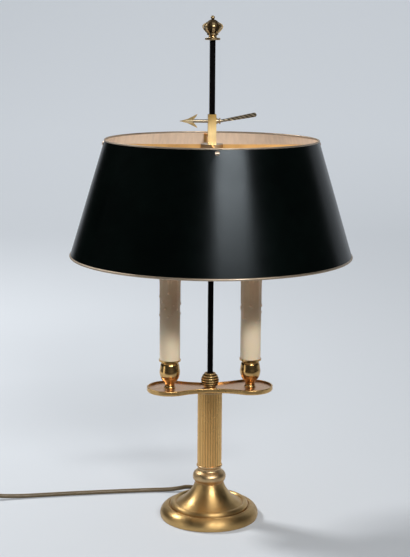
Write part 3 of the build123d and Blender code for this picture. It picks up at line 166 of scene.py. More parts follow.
class LampCordSettings(bpy.types.PropertyGroup):
    diameter: length("Cord diameter", "Outside diameter of the cord", 5.2)
    sheath: colour("Sheath", "Colour of the cord's sheath", (0.140, 0.100, 0.048))
    coil_radius: length("Coil radius", "Radius of the outer turns of the coil", 33.8)


class LampStageSettings(bpy.types.PropertyGroup):
    floor: colour("Floor", "Colour of the floor and backdrop", (0.43, 0.455, 0.485))
    carpet: colour("Carpet", "Colour of the floor's dark part", (0.035, 0.033, 0.03))
    near_glow: glow("Near glow", "Paleness added to the floor", 0.17)
    far_glow: glow("Far glow", "Paleness added to the backdrop", 0.53)
    well_glow: glow("Carpet glow", "Paleness added to the floor's dark part", 0.42)
    key_power: power("Key light", "Power of the key light", 30)
    fill_power: power("Fill light", "Power of the fill light", 0.55)
    back_power: power("Back light", "Power of the back light", 47)
    top_power: power("Top light", "Power of the top light", 6)


# ---------------------------------------------------------------- materials


class Finish:
    """A finish for one kind of surface: its shader and short ways to add and join nodes."""

    def __init__(self, name, base, roughness, metallic=0.0, **constants):
        self.material = bpy.data.materials.new(name)
        self.material.use_nodes = True
        self.tree = self.material.node_tree
        self.shader = self.tree.nodes["Principled BSDF"]
        self.set(base_color=(*base, 1), roughness=roughness, metallic=metallic, **constants)
        self.place = self.node("ShaderNodeTexCoord").outputs["Object"]

    def set(self, **constants):
        for key, value in constants.items():
            socket = key.replace("_", " ").title().replace("Ior", "IOR")
            self.shader.inputs[socket].default_value = value

    def node(self, kind, inputs=None, **settings):
        made = self.tree.nodes.new(kind)
        for key, value in settings.items():
            setattr(made, key, value)
        for key, value in (inputs or {}).items():
            self.join(value, made.inputs[key])
        return made

    def join(self, value, socket):
        if isinstance(value, bpy.types.NodeSocket):
            self.tree.links.new(value, socket)
        else:
            socket.default_value = value

    def into(self, socket, value):
        self.join(value, self.shader.inputs[socket])

    def math(self, operation, *values, clamp=False):
        inputs = dict(enumerate(values))
        return self.node("ShaderNodeMath", inputs, operation=operation, use_clamp=clamp).outputs[0]

    def moved(self, location=(0, 0, 0), scale=(1, 1, 1), place=None):
        """The place on the piece, centred and stretched."""
        inputs = {"Vector": place or self.place, "Location": location, "Scale": scale}
        return self.node("ShaderNodeMapping", inputs).outputs[0]

    def ring_place(self, x=0.0):
        """Distance from an upright axis at x, and height: what a lathe tool sees."""
        apart = self.node("ShaderNodeSeparateXYZ", {0: self.moved((-x, 0, 0))}).outputs
        flat = self.node("ShaderNodeCombineXYZ", {0: apart[0], 1: apart[1]}).outputs[0]
        away = self.node("ShaderNodeVectorMath", {0: flat}, operation="LENGTH").outputs["Value"]
        return self.node("ShaderNodeCombineXYZ", {0: away, 2: apart[2]}).outputs[0]

    def height(self):
        return self.node("ShaderNodeSeparateXYZ", {0: self.place}).outputs[2]

    def noise(self, scale, detail=3.0, roughness=0.5, place=None):
        place = place or self.place
        inputs = {"Vector": place, "Scale": scale, "Detail": detail, "Roughness": roughness}
        return self.node("ShaderNodeTexNoise", inputs).outputs["Fac"]

    def upward(self, sloping=0.8, level=0.97):
        """How far the surface faces up."""
        facing = self.node("ShaderNodeNewGeometry").outputs["Normal"]
        rise = self.node("ShaderNodeSeparateXYZ", {0: facing}).outputs[2]
        return self.between(rise, sloping, level)

    def over(self, share, cover):
        """Lays another colour over the base colour where the share is high."""
        below = self.shader.inputs["Base Color"].links[0].from_socket
        self.into("Base Color", self.blend(share, below, cover))

    def between(self, value, low, high, start=0.0, end=1.0):
        """The value's stretch from low to high, spread over start to end."""
        inputs = {"Value": value, "From Min": low, "From Max": high, "To Min": start, "To Max": end}
        return self.node("ShaderNodeMapRange", inputs).outputs["Result"]

    def between_mm(self, value, ends, start=0.0, end=1.0):
        """The same between two lengths in millimetres."""
        return self.between(value, ends[0] * MM, ends[1] * MM, start, end)

    def below(self, top, drops, start=0.0, end=1.0):
        """The same between two heights, each so many millimetres below the top."""
        return self.between(self.height(), top - drops[0] * MM, top - drops[1] * MM, start, end)

    def blend(self, share, first, second):
        mixer = self.node("ShaderNodeMix", data_type="RGBA")
        self.join(share, mixer.inputs["Factor"])
        for socket, value in ((6, first), (7, second)):
            value = value if isinstance(value, bpy.types.NodeSocket) else (*value, 1)
            self.join(value, mixer.inputs[socket])
        return mixer.outputs[2]

    def relief(self, heights, depth_mm):
        """Bumps from one or more (height, share) pairs."""
        total = None
        for value, share in heights:
            part = self.math("MULTIPLY", value, share)
            total = part if total is None else self.math("ADD", total, part)
        inputs = {"Height": total, "Distance": depth_mm * MM, "Strength": 1.0}
        self.into("Normal", self.node("ShaderNodeBump", inputs).outputs[0])


def shaded(base, factor):
    return tuple(channel * factor for channel in base)


def lathe_brass(name, base, tarnish, roughness, x=0.0, ring_depth=0.004, age=0.35, streaks=0.0):
    """Brass turned on a lathe: fine rings, a clouded polish, and light drawn out across them."""
    finish = Finish(
        name, base, roughness, metallic=1.0, anisotropic=streaks, anisotropic_rotation=0.25
    )
    around = finish.node("ShaderNodeTangent", direction_type="RADIAL", axis="Z").outputs[0]
    finish.into("Tangent", around)
    rings = finish.ring_place(x)
    fine = finish.noise(2600, 2.0, place=finish.moved(scale=(1, 0, 1), place=rings))
    coarse = finish.noise(420, 3.0, place=finish.moved(scale=(1, 0, 1), place=rings))
    cloud = finish.noise(55, 5.0, 0.6)
    patch = finish.noise(14, 4.0, 0.65)
    worn = finish.between(patch, 0.52, 0.72, 0.0, age)
    tinted = finish.blend(worn, base, tarnish)
    streak = finish.between(coarse, 0.3, 0.7, 0.0, 0.16)
    finish.into("Base Color", finish.blend(streak, tinted, shaded(base, 0.62)))
    dull = finish.between(cloud, 0.35, 0.7, roughness * 0.75, roughness * 1.45)
    finish.into("Roughness", finish.math("ADD", dull, finish.between(fine, 0.3, 0.7, 0.0, 0.07)))
    finish.relief([(fine, 1.0), (coarse, 2.0), (cloud, 1.5)], ring_depth)
    return finish


# How brush marks are drawn out: up the piece, or across the lamp
UPRIGHT = (1, 1, 0.04)
ACROSS = (0.05, 1, 1)


def brushed_brass(name, base, tarnish, roughness, stretch=UPRIGHT, depth=0.006, age=0.35):
    """Brass rubbed along one direction, darker where fingers and polish don't reach."""
    finish = Finish(name, base, roughness, metallic=1.0)
    scratch = finish.noise(2400, 3.0, place=finish.moved(scale=stretch))
    cloud = finish.noise(70, 5.0, 0.6)
    patch = finish.noise(22, 4.0, 0.6)
    worn = finish.between(patch, 0.5, 0.72, 0.0, age)
    tinted = finish.blend(worn, base, tarnish)
    streak = finish.between(scratch, 0.35, 0.7, 0.0, 0.25)
    finish.into("Base Color", finish.blend(streak, tinted, shaded(base, 0.7)))
    dull = finish.between(cloud, 0.35, 0.7, roughness * 0.8, roughness * 1.3)
    finish.into("Roughness", finish.math("ADD", dull, finish.between(scratch, 0.3, 0.7, 0.0, 0.08)))
    finish.relief([(scratch, 1.0), (cloud, 1.0)], depth)
    return finish


def fluted_brass(name, base, hollow):
    """Satin brass, bright on its ridges, with painted shade deep in its flutes and towards its top
    under the tray.
    """
    finish = brushed_brass(name, base, hollow, 0.27, depth=0.003, age=0.12)
    away = finish.node("ShaderNodeSeparateXYZ", {0: finish.ring_place()}).outputs[0]
    # Painted shade deep in the flutes
    finish.over(finish.between_mm(away, FLUTE_RADII, 0.6, 0.0), hollow)
    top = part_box("fluted_column")[1].z
    # Painted shade towards the top, under the tray
    finish.over(finish.below(top, COLUMN_SHADE_DROPS, 0.0, 0.35), hollow)
    return finish


def arrow_brass(name, base, rod, rod_mm, twisted=False):
    """Brass with a painted highlight on its ridge, a browner rod level with the screw, and painted
    shade in a rope twist where asked.
    """
    hollow = shaded(base, 0.5)
    finish = brushed_brass(name, base, hollow, 0.3, ACROSS, depth=0.003, age=0.15)
    across, _, rise = finish.node("ShaderNodeSeparateXYZ", {0: finish.place}).outputs
    centre = sum(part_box("clamp_screw"), Vector()) / 2
    off_rod = finish.math("ABSOLUTE", finish.math("SUBTRACT", rise, centre.z))
    # Painted highlight along the ridge
    ridge = finish.between_mm(off_rod, RIDGE_HALF_HEIGHTS, 1.0, 0.0)
    ridge = finish.math("MULTIPLY", ridge, finish.between_mm(across, RIDGE_FADE))
    finish.over(ridge, ARROW_RIDGE_HIGHLIGHT)
    near = finish.between_mm(off_rod, ROD_HALF_HEIGHTS, 1.0, 0.0)
    start = finish.between_mm(across, (rod_mm[0], rod_mm[0] + 1))
    end = finish.between_mm(across, (rod_mm[1] - 1, rod_mm[1]), 1.0, 0.0)
    finish.over(finish.math("MULTIPLY", near, finish.math("MULTIPLY", start, end)), rod)
    if twisted:
        # Painted shade: dark bands that draw a rope twist
        slant = finish.math("ADD", finish.math("MULTIPLY", across, FEATHER_SLANT), rise)
        turns = finish.math("MULTIPLY", slant, 2 * math.pi / (FEATHER_TWIST * MM))
        turn = finish.math("SINE", turns)
        finish.over(finish.between(turn, -0.2, 0.5, 0.0, 0.9), shaded(rod, 0.2))
    return finish


def threaded_metal(name, base, roughness, pitch_mm, depth_mm):
    """Metal with a screw thread along its height and painted shade in its grooves."""
    finish = Finish(name, base, roughness, metallic=1.0)
    turn = finish.math("MULTIPLY", finish.height(), 2 * math.pi / (pitch_mm * MM))
    thread = finish.between(finish.math("SINE", turn), -1, 1)
    cloud = finish.noise(160, 4.0)
    finish.into("Roughness", finish.between(cloud, 0.3, 0.7, roughness * 0.8, roughness * 1.4))
    # Painted shade in the thread's grooves
    groove = finish.between(thread, 0.0, 0.5, 0.5, 0.0)
    finish.into("Base Color", finish.blend(groove, base, shaded(base, 0.45)))
    finish.relief([(thread, 1.0), (cloud, 0.04)], depth_mm)
    return finish


def moulded(name, base, roughness, grain=900, depth=0.01, mottle=0.24):
    """Moulded plastic or rubber: a fine grain, a faint mottle and an uneven gloss."""
    finish = Finish(name, base, roughness)
    fine = finish.noise(grain, 3.0)
    cloud = finish.noise(60, 4.0)
    share = finish.between(cloud, 0.35, 0.7, 0.0, mottle)
    finish.into("Base Color", finish.blend(share, base, shaded(base, 0.6)))
    finish.into("Roughness", finish.between(cloud, 0.3, 0.7, roughness * 0.85, roughness * 1.25))
    finish.relief([(fine, 1.0)], depth)
    return finish


def old_gold(name, raised, hollow, centre, radii_mm):
    """Aged gilding with painted shade: bright where it stands out from the centre, dark in the
    hollows.
    """
    finish = Finish(name, raised, 0.34, metallic=1.0)
    apart = finish.moved(tuple(-c for c in centre))
    away = finish.node("ShaderNodeVectorMath", {0: apart}, operation="LENGTH").outputs["Value"]
    # Painted shade: the gilding turns dark towards the centre, in the hollows
    out_of_shade = finish.between_mm(away, radii_mm)
    grime = finish.noise(900, 4.0, 0.65)
    share = finish.math("SUBTRACT", out_of_shade, finish.between(grime, 0.45, 0.75, 0.0, 0.6), clamp=True)
    finish.into("Base Color", finish.blend(share, hollow, raised))
    finish.into("Roughness", finish.between(share, 0, 1, 0.62, 0.3))
    finish.relief([(grime, 1.0)], 0.03)
    return finish


def shade_lacquer(settings):
    """Lacquer on the sheet's outer face and gilding on its inner one."""
    finish = Finish("shade_lacquer_and_gilt", settings.lacquer, 0.2, specular_ior_level=0.12)
    finish.set(specular_tint=(*LACQUER_SHINE, 1))
    facing = finish.node("ShaderNodeNewGeometry").outputs["Normal"]
    sides = {0: facing, 1: finish.moved(scale=(1, 1, 0))}
    outward = finish.node("ShaderNodeVectorMath", sides, operation="DOT_PRODUCT").outputs["Value"]
    outside = finish.math("GREATER_THAN", outward, 0.0)
    cloud = finish.noise(18, 5.0, 0.6)
    speck = finish.noise(700, 2.0)
    brushed = finish.noise(240, 3.0, place=finish.moved(scale=(1, 1, 0.08)))
    smudge = finish.noise(9, 4.0, 0.7)
    gilt_tone = finish.between(finish.math("ADD", brushed, smudge), 0.75, 1.3, 0.0, 0.45)
    gilt = finish.blend(gilt_tone, settings.gilt, shaded(settings.gilt, 0.62))
    clouded = finish.between(cloud, 0.4, 0.7)
    lacquer = finish.blend(clouded, settings.lacquer, shaded(settings.lacquer, 1.8))
    finish.into("Base Color", finish.blend(outside, gilt, lacquer))
    finish.into("Metallic", finish.between(outside, 0, 1, 0.15, 0.0))
    lacquer_dull = finish.between(cloud, 0.35, 0.7, 0.22, 0.28)
    gilt_dull = finish.between(brushed, 0.3, 0.7, 0.42, 0.58)
    inside = finish.math("SUBTRACT", 1.0, outside)
    lacquer_dull = finish.math("MULTIPLY", outside, lacquer_dull)
    gilt_dull = finish.math("MULTIPLY", inside, gilt_dull)
    finish.into("Roughness", finish.math("ADD", lacquer_dull, gilt_dull))
    finish.relief([(speck, 0.3), (cloud, 1.0)], 0.05)
    return finish


def bar_paint(settings):
    """Black paint on the bar, worn thin in streaks by the sliding sleeve."""
    finish = Finish("bar_paint", settings.bar, 0.4, specular_ior_level=0.04)
    streak = finish.noise(1500, 3.0, place=finish.moved(scale=(1, 1, 0.02)))
    cloud = finish.noise(90, 4.0)
    rub = finish.between(streak, 0.55, 0.75, 0.0, 0.35)
    finish.into("Base Color", finish.blend(rub, settings.bar, RUBBED_BAR))
    finish.into("Roughness", finish.between(cloud, 0.3, 0.7, 0.3, 0.5))
    finish.relief([(streak, 0.6), (cloud, 1.0)], 0.02)
    return finish


def candle_wax(name, settings, x, top):
    """Ivory wax with pits and a soft inner glow, with a painted shadow up the candle that leaves
    its runs lit.
    """
    finish = Finish(name, settings.wax, 0.42, subsurface_weight=0.18, subsurface_scale=0.004)
    cloud = finish.noise(45, 5.0, 0.6)
    pits = finish.noise(420, 4.0, 0.6)
    # Painted shadow of the shade up the candle, left off the runs so they stand out lit
    shadowed = finish.below(top, WAX_SHADOW_DROPS, 0.0, 0.9)
    away = finish.node("ShaderNodeSeparateXYZ", {0: finish.ring_place(x)}).outputs[0]
    shadowed = finish.math("MULTIPLY", shadowed, finish.between_mm(away, WAX_SHADOW_RADII, 1.0, 0.0))
    share = finish.math("MULTIPLY", finish.between(cloud, 0.35, 0.7, 0.7, 1.0), shadowed)
    finish.into("Base Color", finish.blend(share, settings.wax, SHADOWED_WAX))
    finish.into("Roughness", finish.between(cloud, 0.3, 0.7, 0.36, 0.52))
    finish.relief([(pits, 0.5), (cloud, 1.0)], 0.12)
    return finish


def bulb_glass():
    finish = Finish("bulb_glass", GLASS, 0.02, transmission_weight=1.0, ior=1.45)
    dust = finish.noise(300, 4.0)
    finish.into("Roughness", finish.between(dust, 0.4, 0.75, 0.01, 0.09))
    finish.relief([(finish.noise(30, 2.0), 1.0)], 0.05)
    return finish


def cast_weight():
    finish = Finish("cast_iron", CAST_IRON, 0.72, metallic=0.6)
    sand = finish.noise(800, 5.0, 0.7)
    rust = finish.noise(60, 5.0, 0.65)
    finish.into("Base Color", finish.blend(finish.between(rust, 0.5, 0.7), CAST_IRON, RUST))
    finish.relief([(sand, 1.0), (rust, 0.5)], 0.25)
    return finish


def felt():
    finish = Finish("green_felt", FELT_GREEN, 0.95, sheen_weight=0.6, sheen_roughness=0.5)
    fibre = finish.noise(1400, 5.0, 0.75, place=finish.moved(scale=(1, 0.35, 1)))
    clump = finish.noise(160, 4.0, 0.6)
    share = finish.between(clump, 0.35, 0.7)
    finish.into("Base Color", finish.blend(share, FELT_GREEN, shaded(FELT_GREEN, 0.55)))
    finish.relief([(fibre, 1.0), (clump, 0.6)], 0.3)
    return finish


def cord_sheath(settings):
    """Gold-brown plastic sheath with a faint cloud and a fine grain."""
    base = tuple(settings.sheath)
    finish = Finish("cord_sheath", base, 0.34)
    cloud = finish.noise(120, 4.0)
    fine = finish.noise(1500, 2.0)
    share = finish.between(cloud, 0.35, 0.7, 0.0, 0.5)
    finish.into("Base Color", finish.blend(share, base, shaded(base, 0.6)))
    finish.into("Roughness", finish.between(cloud, 0.3, 0.7, 0.28, 0.42))
    finish.relief([(fine, 0.4), (cloud, 1.0)], 0.05)
    return finish


# In metres: between which the floor turns from carpet to paint, and its glow from near to far
PAINT_DEPTHS = (-0.55, -0.3)
PAINT_ACROSS = (-1.7, -1.1)
GLOW_DEPTHS = (-0.1, 3.0)
GLOW_TINT = (0.87, 0.93, 1.0)


def stage_paint(settings):
    """Matt paint that looks pale all over, but mirrors dark in front of the lamp and far left."""
    finish = Finish("floor_paint", settings.floor, 0.85, specular_ior_level=0.2)
    cloud = finish.noise(1.2, 2.0)
    share = finish.between(cloud, 0.35, 0.7, 0.0, 0.05)
    across, depth, _ = finish.node("ShaderNodeSeparateXYZ", {0: finish.place}).outputs
    pale = finish.between(depth, *PAINT_DEPTHS)
    pale = finish.math("MULTIPLY", pale, finish.between(across, *PAINT_ACROSS))
    painted = finish.blend(share, settings.floor, shaded(settings.floor, 0.9))
    finish.into("Base Color", finish.blend(pale, settings.carpet, painted))
    rays = finish.node("ShaderNodeLightPath").outputs
    mirrored = finish.math("ADD", rays["Is Glossy Ray"], rays["Is Transmission Ray"], clamp=True)
    paleness = finish.between(depth, *GLOW_DEPTHS, settings.near_glow, settings.far_glow)
    well = finish.between(pale, 0, 1, settings.well_glow, 0.0)
    seen = finish.math("MULTIPLY", rays["Is Camera Ray"], finish.math("ADD", paleness, well))
    mirrored = finish.math("MULTIPLY", finish.math("MULTIPLY", mirrored, pale), paleness)
    finish.set(emission_color=(*GLOW_TINT, 1))
    finish.into("Emission Strength", finish.math("ADD", seen, mirrored))
    return finish


def dress(finish, *names):
    """Gives CAD nodes their finish."""
    for name in names:
        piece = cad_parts[name]
        if piece.material_slots:
            for slot in piece.material_slots:
                slot.material = finish.material
        else:
            piece.data.materials.append(finish.material)


def both(name):
    return [f"{name}_{side}" for side in SIDES]


# ---------------------------------------------------------------- modelling helpers


def deselect():
    if bpy.context.object and bpy.context.object.mode != "OBJECT":
        bpy.ops.object.mode_set(mode="OBJECT")
    bpy.ops.object.select_all(action="DESELECT")


def pick(piece, test, kind="VERT"):
    """Selects the vertices, or the edges, whose places pass a test, and enters edit mode."""
    bpy.context.view_layer.objects.active = piece
    bpy.ops.object.mode_set(mode="EDIT")
    bpy.ops.mesh.select_mode(type=kind)
    bpy.ops.mesh.select_all(action="DESELECT")
    bpy.ops.object.mode_set(mode="OBJECT")
    mesh = piece.data
    if kind == "VERT":
        for vertex in mesh.vertices:
            vertex.select = test(vertex.co)
    else:
        for edge in mesh.edges:
            edge.select = all(test(mesh.vertices[i].co) for i in edge.vertices)
    bpy.ops.object.mode_set(mode="EDIT")


def tube(name, points, radius, roundness, resolution):
    """A round tube that starts and ends at its outer points and follows the ones between."""
    data = bpy.data.curves.new(name, "CURVE")
    data.dimensions = "3D"
    data.bevel_depth = radius
    data.bevel_resolution = roundness
    data.resolution_u = resolution
    data.use_fill_caps = True
    spline = data.splines.new("NURBS")
    spline.points.add(len(points) - 1)
    for point, place in zip(spline.points, points):
        point.co = (*place, 1)
    spline.order_u = 3
    spline.use_endpoint_u = True
    piece = bpy.data.objects.new(name, data)
    bpy.context.scene.collection.objects.link(piece)
    return piece


def finish_mesh(piece, name, finish, body, angle=60):
    """Sets a piece down: its name, finish, shading, place in its mesh and the body it rides on."""
    deselect()
    piece.name = name
    piece.data.name = name
    piece.select_set(True)
    bpy.context.view_layer.objects.active = piece
    bpy.ops.object.transform_apply(location=True, rotation=True, scale=True)
    bpy.ops.object.shade_smooth_by_angle(angle=math.radians(angle))
    piece.data.materials.clear()
    piece.data.materials.append(finish.material)
    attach(piece, body)
    deselect()


# ---------------------------------------------------------------- stage

# The stage's sizes and the lights' places and sizes are in metres
FLOOR_WIDTH = 14
FLOOR_LENGTH = 9
FLOOR_CENTRE = -0.7
BACKDROP_HEIGHT = 5
SWEEP_RADIUS = 1.6
SWEEP_STEPS = 24

# Each light's name, setting, share of it, whether metal mirrors it, place, aim, size and tint
WARM, CLEAR, IVORY = (1.0, 0.98, 0.9), (1.0, 0.99, 0.98), (1.0, 0.99, 0.97)
BACK_SHINE = 0.35
BACK = ((-1.3, 0.9, 1.65), (0, 0, 0.1), (0.36, 0.36), CLEAR)
LIGHTS = (
    ("key_light", "key_power", 1, True, (0.43, -1.69, 1.3), (0, 0, 0.3), (0.94, 0.2), IVORY),
    ("fill_light", "fill_power", 1, True, (-1.05, -0.32, 0.2), (0, 0, 0.12), (0.3, 0.4), WARM),
    ("back_light", "back_power", BACK_SHINE, True, *BACK),
    ("back_light_matt", "back_power", 1 - BACK_SHINE, False, *BACK),
    ("top_light", "top_power", 1, True, (0.3, 0.2, 2.4), (0, 0, 0.1), (1.6, 1.6), CLEAR),
)

WORLD_COLOUR = (0.90, 0.95, 1.0)
WORLD_LIGHT = 0.045
WORLD_SEEN = 0.6

# The camera's place in metres, and its turn to the right, drop and roll in degrees
CAMERA_PLACE = (-0.1345, -1.4618, 0.557)
CAMERA_ANGLES = (5.0, 10.59, 0.4)
CAMERA_LENS = 85.0
CAMERA_HEIGHT = 36


class BOUILLOTTE_OT_stage(bpy.types.Operator):
    """Sets up the floor, its sweep, the studio lights and the camera"""

    bl_idname = "bouillotte.stage"
    bl_label = "Stage"

    def execute(self, context):
        settings = context.scene.bouillotte_stage
        deselect()
        bpy.ops.mesh.primitive_plane_add(size=1, location=(0, 0, 0))
        sweep = context.object
        for vertex in sweep.data.vertices:
            x, y, _ = vertex.co
            vertex.co = (x * FLOOR_WIDTH, y * FLOOR_LENGTH + FLOOR_CENTRE, 0)
        back = max(vertex.co.y for vertex in sweep.data.vertices)
        pick(sweep, lambda co: co.y > back - 0.01, "EDGE")
        bpy.ops.mesh.extrude_region_move(TRANSFORM_OT_translate={"value": (0, 0, BACKDROP_HEIGHT)})
        pick(sweep, lambda co: co.y > back - 0.01 and co.z < 0.01, "EDGE")
        bpy.ops.mesh.bevel(offset=SWEEP_RADIUS, segments=SWEEP_STEPS, affect="EDGES")
        bpy.ops.object.mode_set(mode="OBJECT")
        bpy.ops.object.shade_smooth()
        sweep.name = "floor_sweep"
        sweep.data.materials.append(stage_paint(settings).material)
        for name, setting, share, *rest in LIGHTS:
            self.light(name, getattr(settings, setting) * share, *rest)
        self.world(context)
        self.camera(context)
        context.scene.view_settings.view_transform = "Standard"
        return {"FINISHED"}

    def light(self, name, energy, mirrored, place, aim, size, tint):
        data = bpy.data.lights.new(name, "AREA")
        data.shape = "RECTANGLE"
        data.size, data.size_y = size
        data.energy = energy
        data.color = tint
        lamp = bpy.data.objects.new(name, data)
        lamp.location = place
        lamp.visible_glossy = mirrored
        lamp.rotation_euler = (Vector(aim) - Vector(place)).to_track_quat("-Z", "Y").to_euler()
        bpy.context.scene.collection.objects.link(lamp)

    def world(self, context):
        world = bpy.data.worlds.new("studio")
        world.use_nodes = True
        context.scene.world = world
        tree = world.node_tree
        background = tree.nodes["Background"]
        background.inputs["Color"].default_value = (*WORLD_COLOUR, 1)
        rays = tree.nodes.new("ShaderNodeLightPath").outputs
        level = tree.nodes.new("ShaderNodeMapRange")
        level.inputs["To Min"].default_value = WORLD_LIGHT
        level.inputs["To Max"].default_value = WORLD_SEEN
        tree.links.new(rays["Is Camera Ray"], level.inputs["Value"])
        tree.links.new(level.outputs["Result"], background.inputs["Strength"])

    def camera(self, context):
        turn, drop, roll = (math.radians(angle) for angle in CAMERA_ANGLES)
        level = math.cos(drop)
        ahead = Vector((math.sin(turn) * level, math.cos(turn) * level, -math.sin(drop)))
        right = Vector((math.cos(turn), -math.sin(turn), 0))
        up = right.cross(ahead)
        tilted_right = right * math.cos(roll) + up * math.sin(roll)
        tilted_up = up * math.cos(roll) - right * math.sin(roll)
        data = bpy.data.cameras.new("view")
        data.sensor_fit = "VERTICAL"
        data.sensor_height = CAMERA_HEIGHT
        data.lens = CAMERA_LENS
        camera = bpy.data.objects.new("view", data)
        axes = Matrix((tilted_right, tilted_up, -ahead)).transposed().to_4x4()
        camera.matrix_world = Matrix.Translation(CAMERA_PLACE) @ axes
        context.scene.collection.objects.link(camera)
        context.scene.camera = camera


# ---------------------------------------------------------------- cord

# The cord's points in metres: from the foot to the switch, on to the coil, and to the plug
FEED_ROUTE = [
    (-0.0120, 0.0777644, 0.0065),
    (-0.0192746, 0.0819644, 0.0065),
    (-0.0280, 0.0826, 0.0045),
    (-0.0410, 0.0824, 0.0029),
    (-0.0660, 0.0830, 0.00265),
    (-0.1000, 0.0814, 0.00265),
    (-0.1430, 0.0787, 0.00265),
    (-0.1840, 0.0754, 0.00265),
    (-0.2160, 0.0720, 0.00265),
    (-0.2380, 0.0696, 0.0036),
    (-0.2540, 0.0682, 0.0052),
    (-0.2690, 0.0682, 0.0052),
]
LINK_ROUTE = [
    (-0.3210, 0.0682, 0.0052),
    (-0.3305, 0.0682, 0.0052),
    (-0.3410, 0.0682, 0.00265),
    (-0.3510, 0.0682, 0.00265),
]
TAIL_ROUTE = [
    (-0.3510, 0.1358, 0.0130),
    (-0.3420, 0.1358, 0.0130),
    (-0.3270, 0.1356, 0.0096),
    (-0.3180, 0.1352, 0.0070),
    (-0.3090, 0.1352, 0.0070),
]
COIL_CENTRE = (-0.3710, 0.1020)
COIL_TURNS = 7.5
COIL_ROWS = (0, 1, 2, 2, 1, 0, 0, 0)
COIL_LAYERS = (0, 0, 0, 1, 1, 1, 2, 2)
CROSSING = 0.25
POINTS_PER_TURN = 16
FLOOR_GAP = 0.00005


def eased(share):
    """A share that starts and stops gently, kept between 0 and 1."""
    share = min(1.0, max(0.0, share))
    return share * share * (3 - 2 * share)


def coil_points(outer, diameter):
    """Three turns out to in, three in to out on top of them, and one and a half over those.

    The cord crosses to the next row or layer in the last part of each turn.
    """
    # A smooth curve runs inside its points, so they lie a little further out
    outward = 1 / math.cos(math.pi / POINTS_PER_TURN) ** 0.75
    points = []
    for step in range(int(COIL_TURNS * POINTS_PER_TURN) + 1):
        turn, part = divmod(step / POINTS_PER_TURN, 1)
        turn = int(turn)
        after = min(turn + 1, len(COIL_ROWS) - 1)
        shift = eased((part - 1 + CROSSING) / CROSSING)
        row = COIL_ROWS[turn] + (COIL_ROWS[after] - COIL_ROWS[turn]) * shift
        layer = COIL_LAYERS[turn] + (COIL_LAYERS[after] - COIL_LAYERS[turn]) * shift
        radius = (outer - row * diameter) * outward
        angle = -math.pi / 2 - 2 * math.pi * step / POINTS_PER_TURN
        x = COIL_CENTRE[0] + radius * math.cos(angle)
        y = COIL_CENTRE[1] + radius * math.sin(angle)
        points.append((x, y, diameter * (0.5 + layer) + FLOOR_GAP))
    return points


class BOUILLOTTE_OT_cord(bpy.types.Operator):
    """Lays the cord from the foot through its switch to the put-away coil and the plug"""

    bl_idname = "bouillotte.cord"
    bl_label = "Cord"

    def execute(self, context):
        settings = context.scene.bouillotte_cord
        coil = coil_points(settings.coil_radius, settings.diameter)
        route = FEED_ROUTE + LINK_ROUTE + coil + TAIL_ROUTE
        cord = tube("mains_cord", route, settings.diameter / 2, roundness=4, resolution=6)
        cord.data.materials.append(cord_sheath(settings).material)
        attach(cord, "root")
        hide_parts("cord_feed", "cord_link", "cord_coil", "cord_tail")
        relief = moulded("relief_rubber", RELIEF_RUBBER, 0.55, grain=500, depth=0.03)
        dress(relief, "cord_relief")
        dress(cord_sheath(settings), "inner_cord")
        case = moulded("switch_case", SWITCH_CASE, 0.28, grain=700, depth=0.012)
        dress(case, "switch_lower", "switch_upper", "plug_body")
        rocker = moulded("rocker_plastic", ROCKER_PLASTIC, 0.24, grain=700)
        dress(rocker, "switch_rocker")
        return {"FINISHED"}


# ---------------------------------------------------------------- metalwork


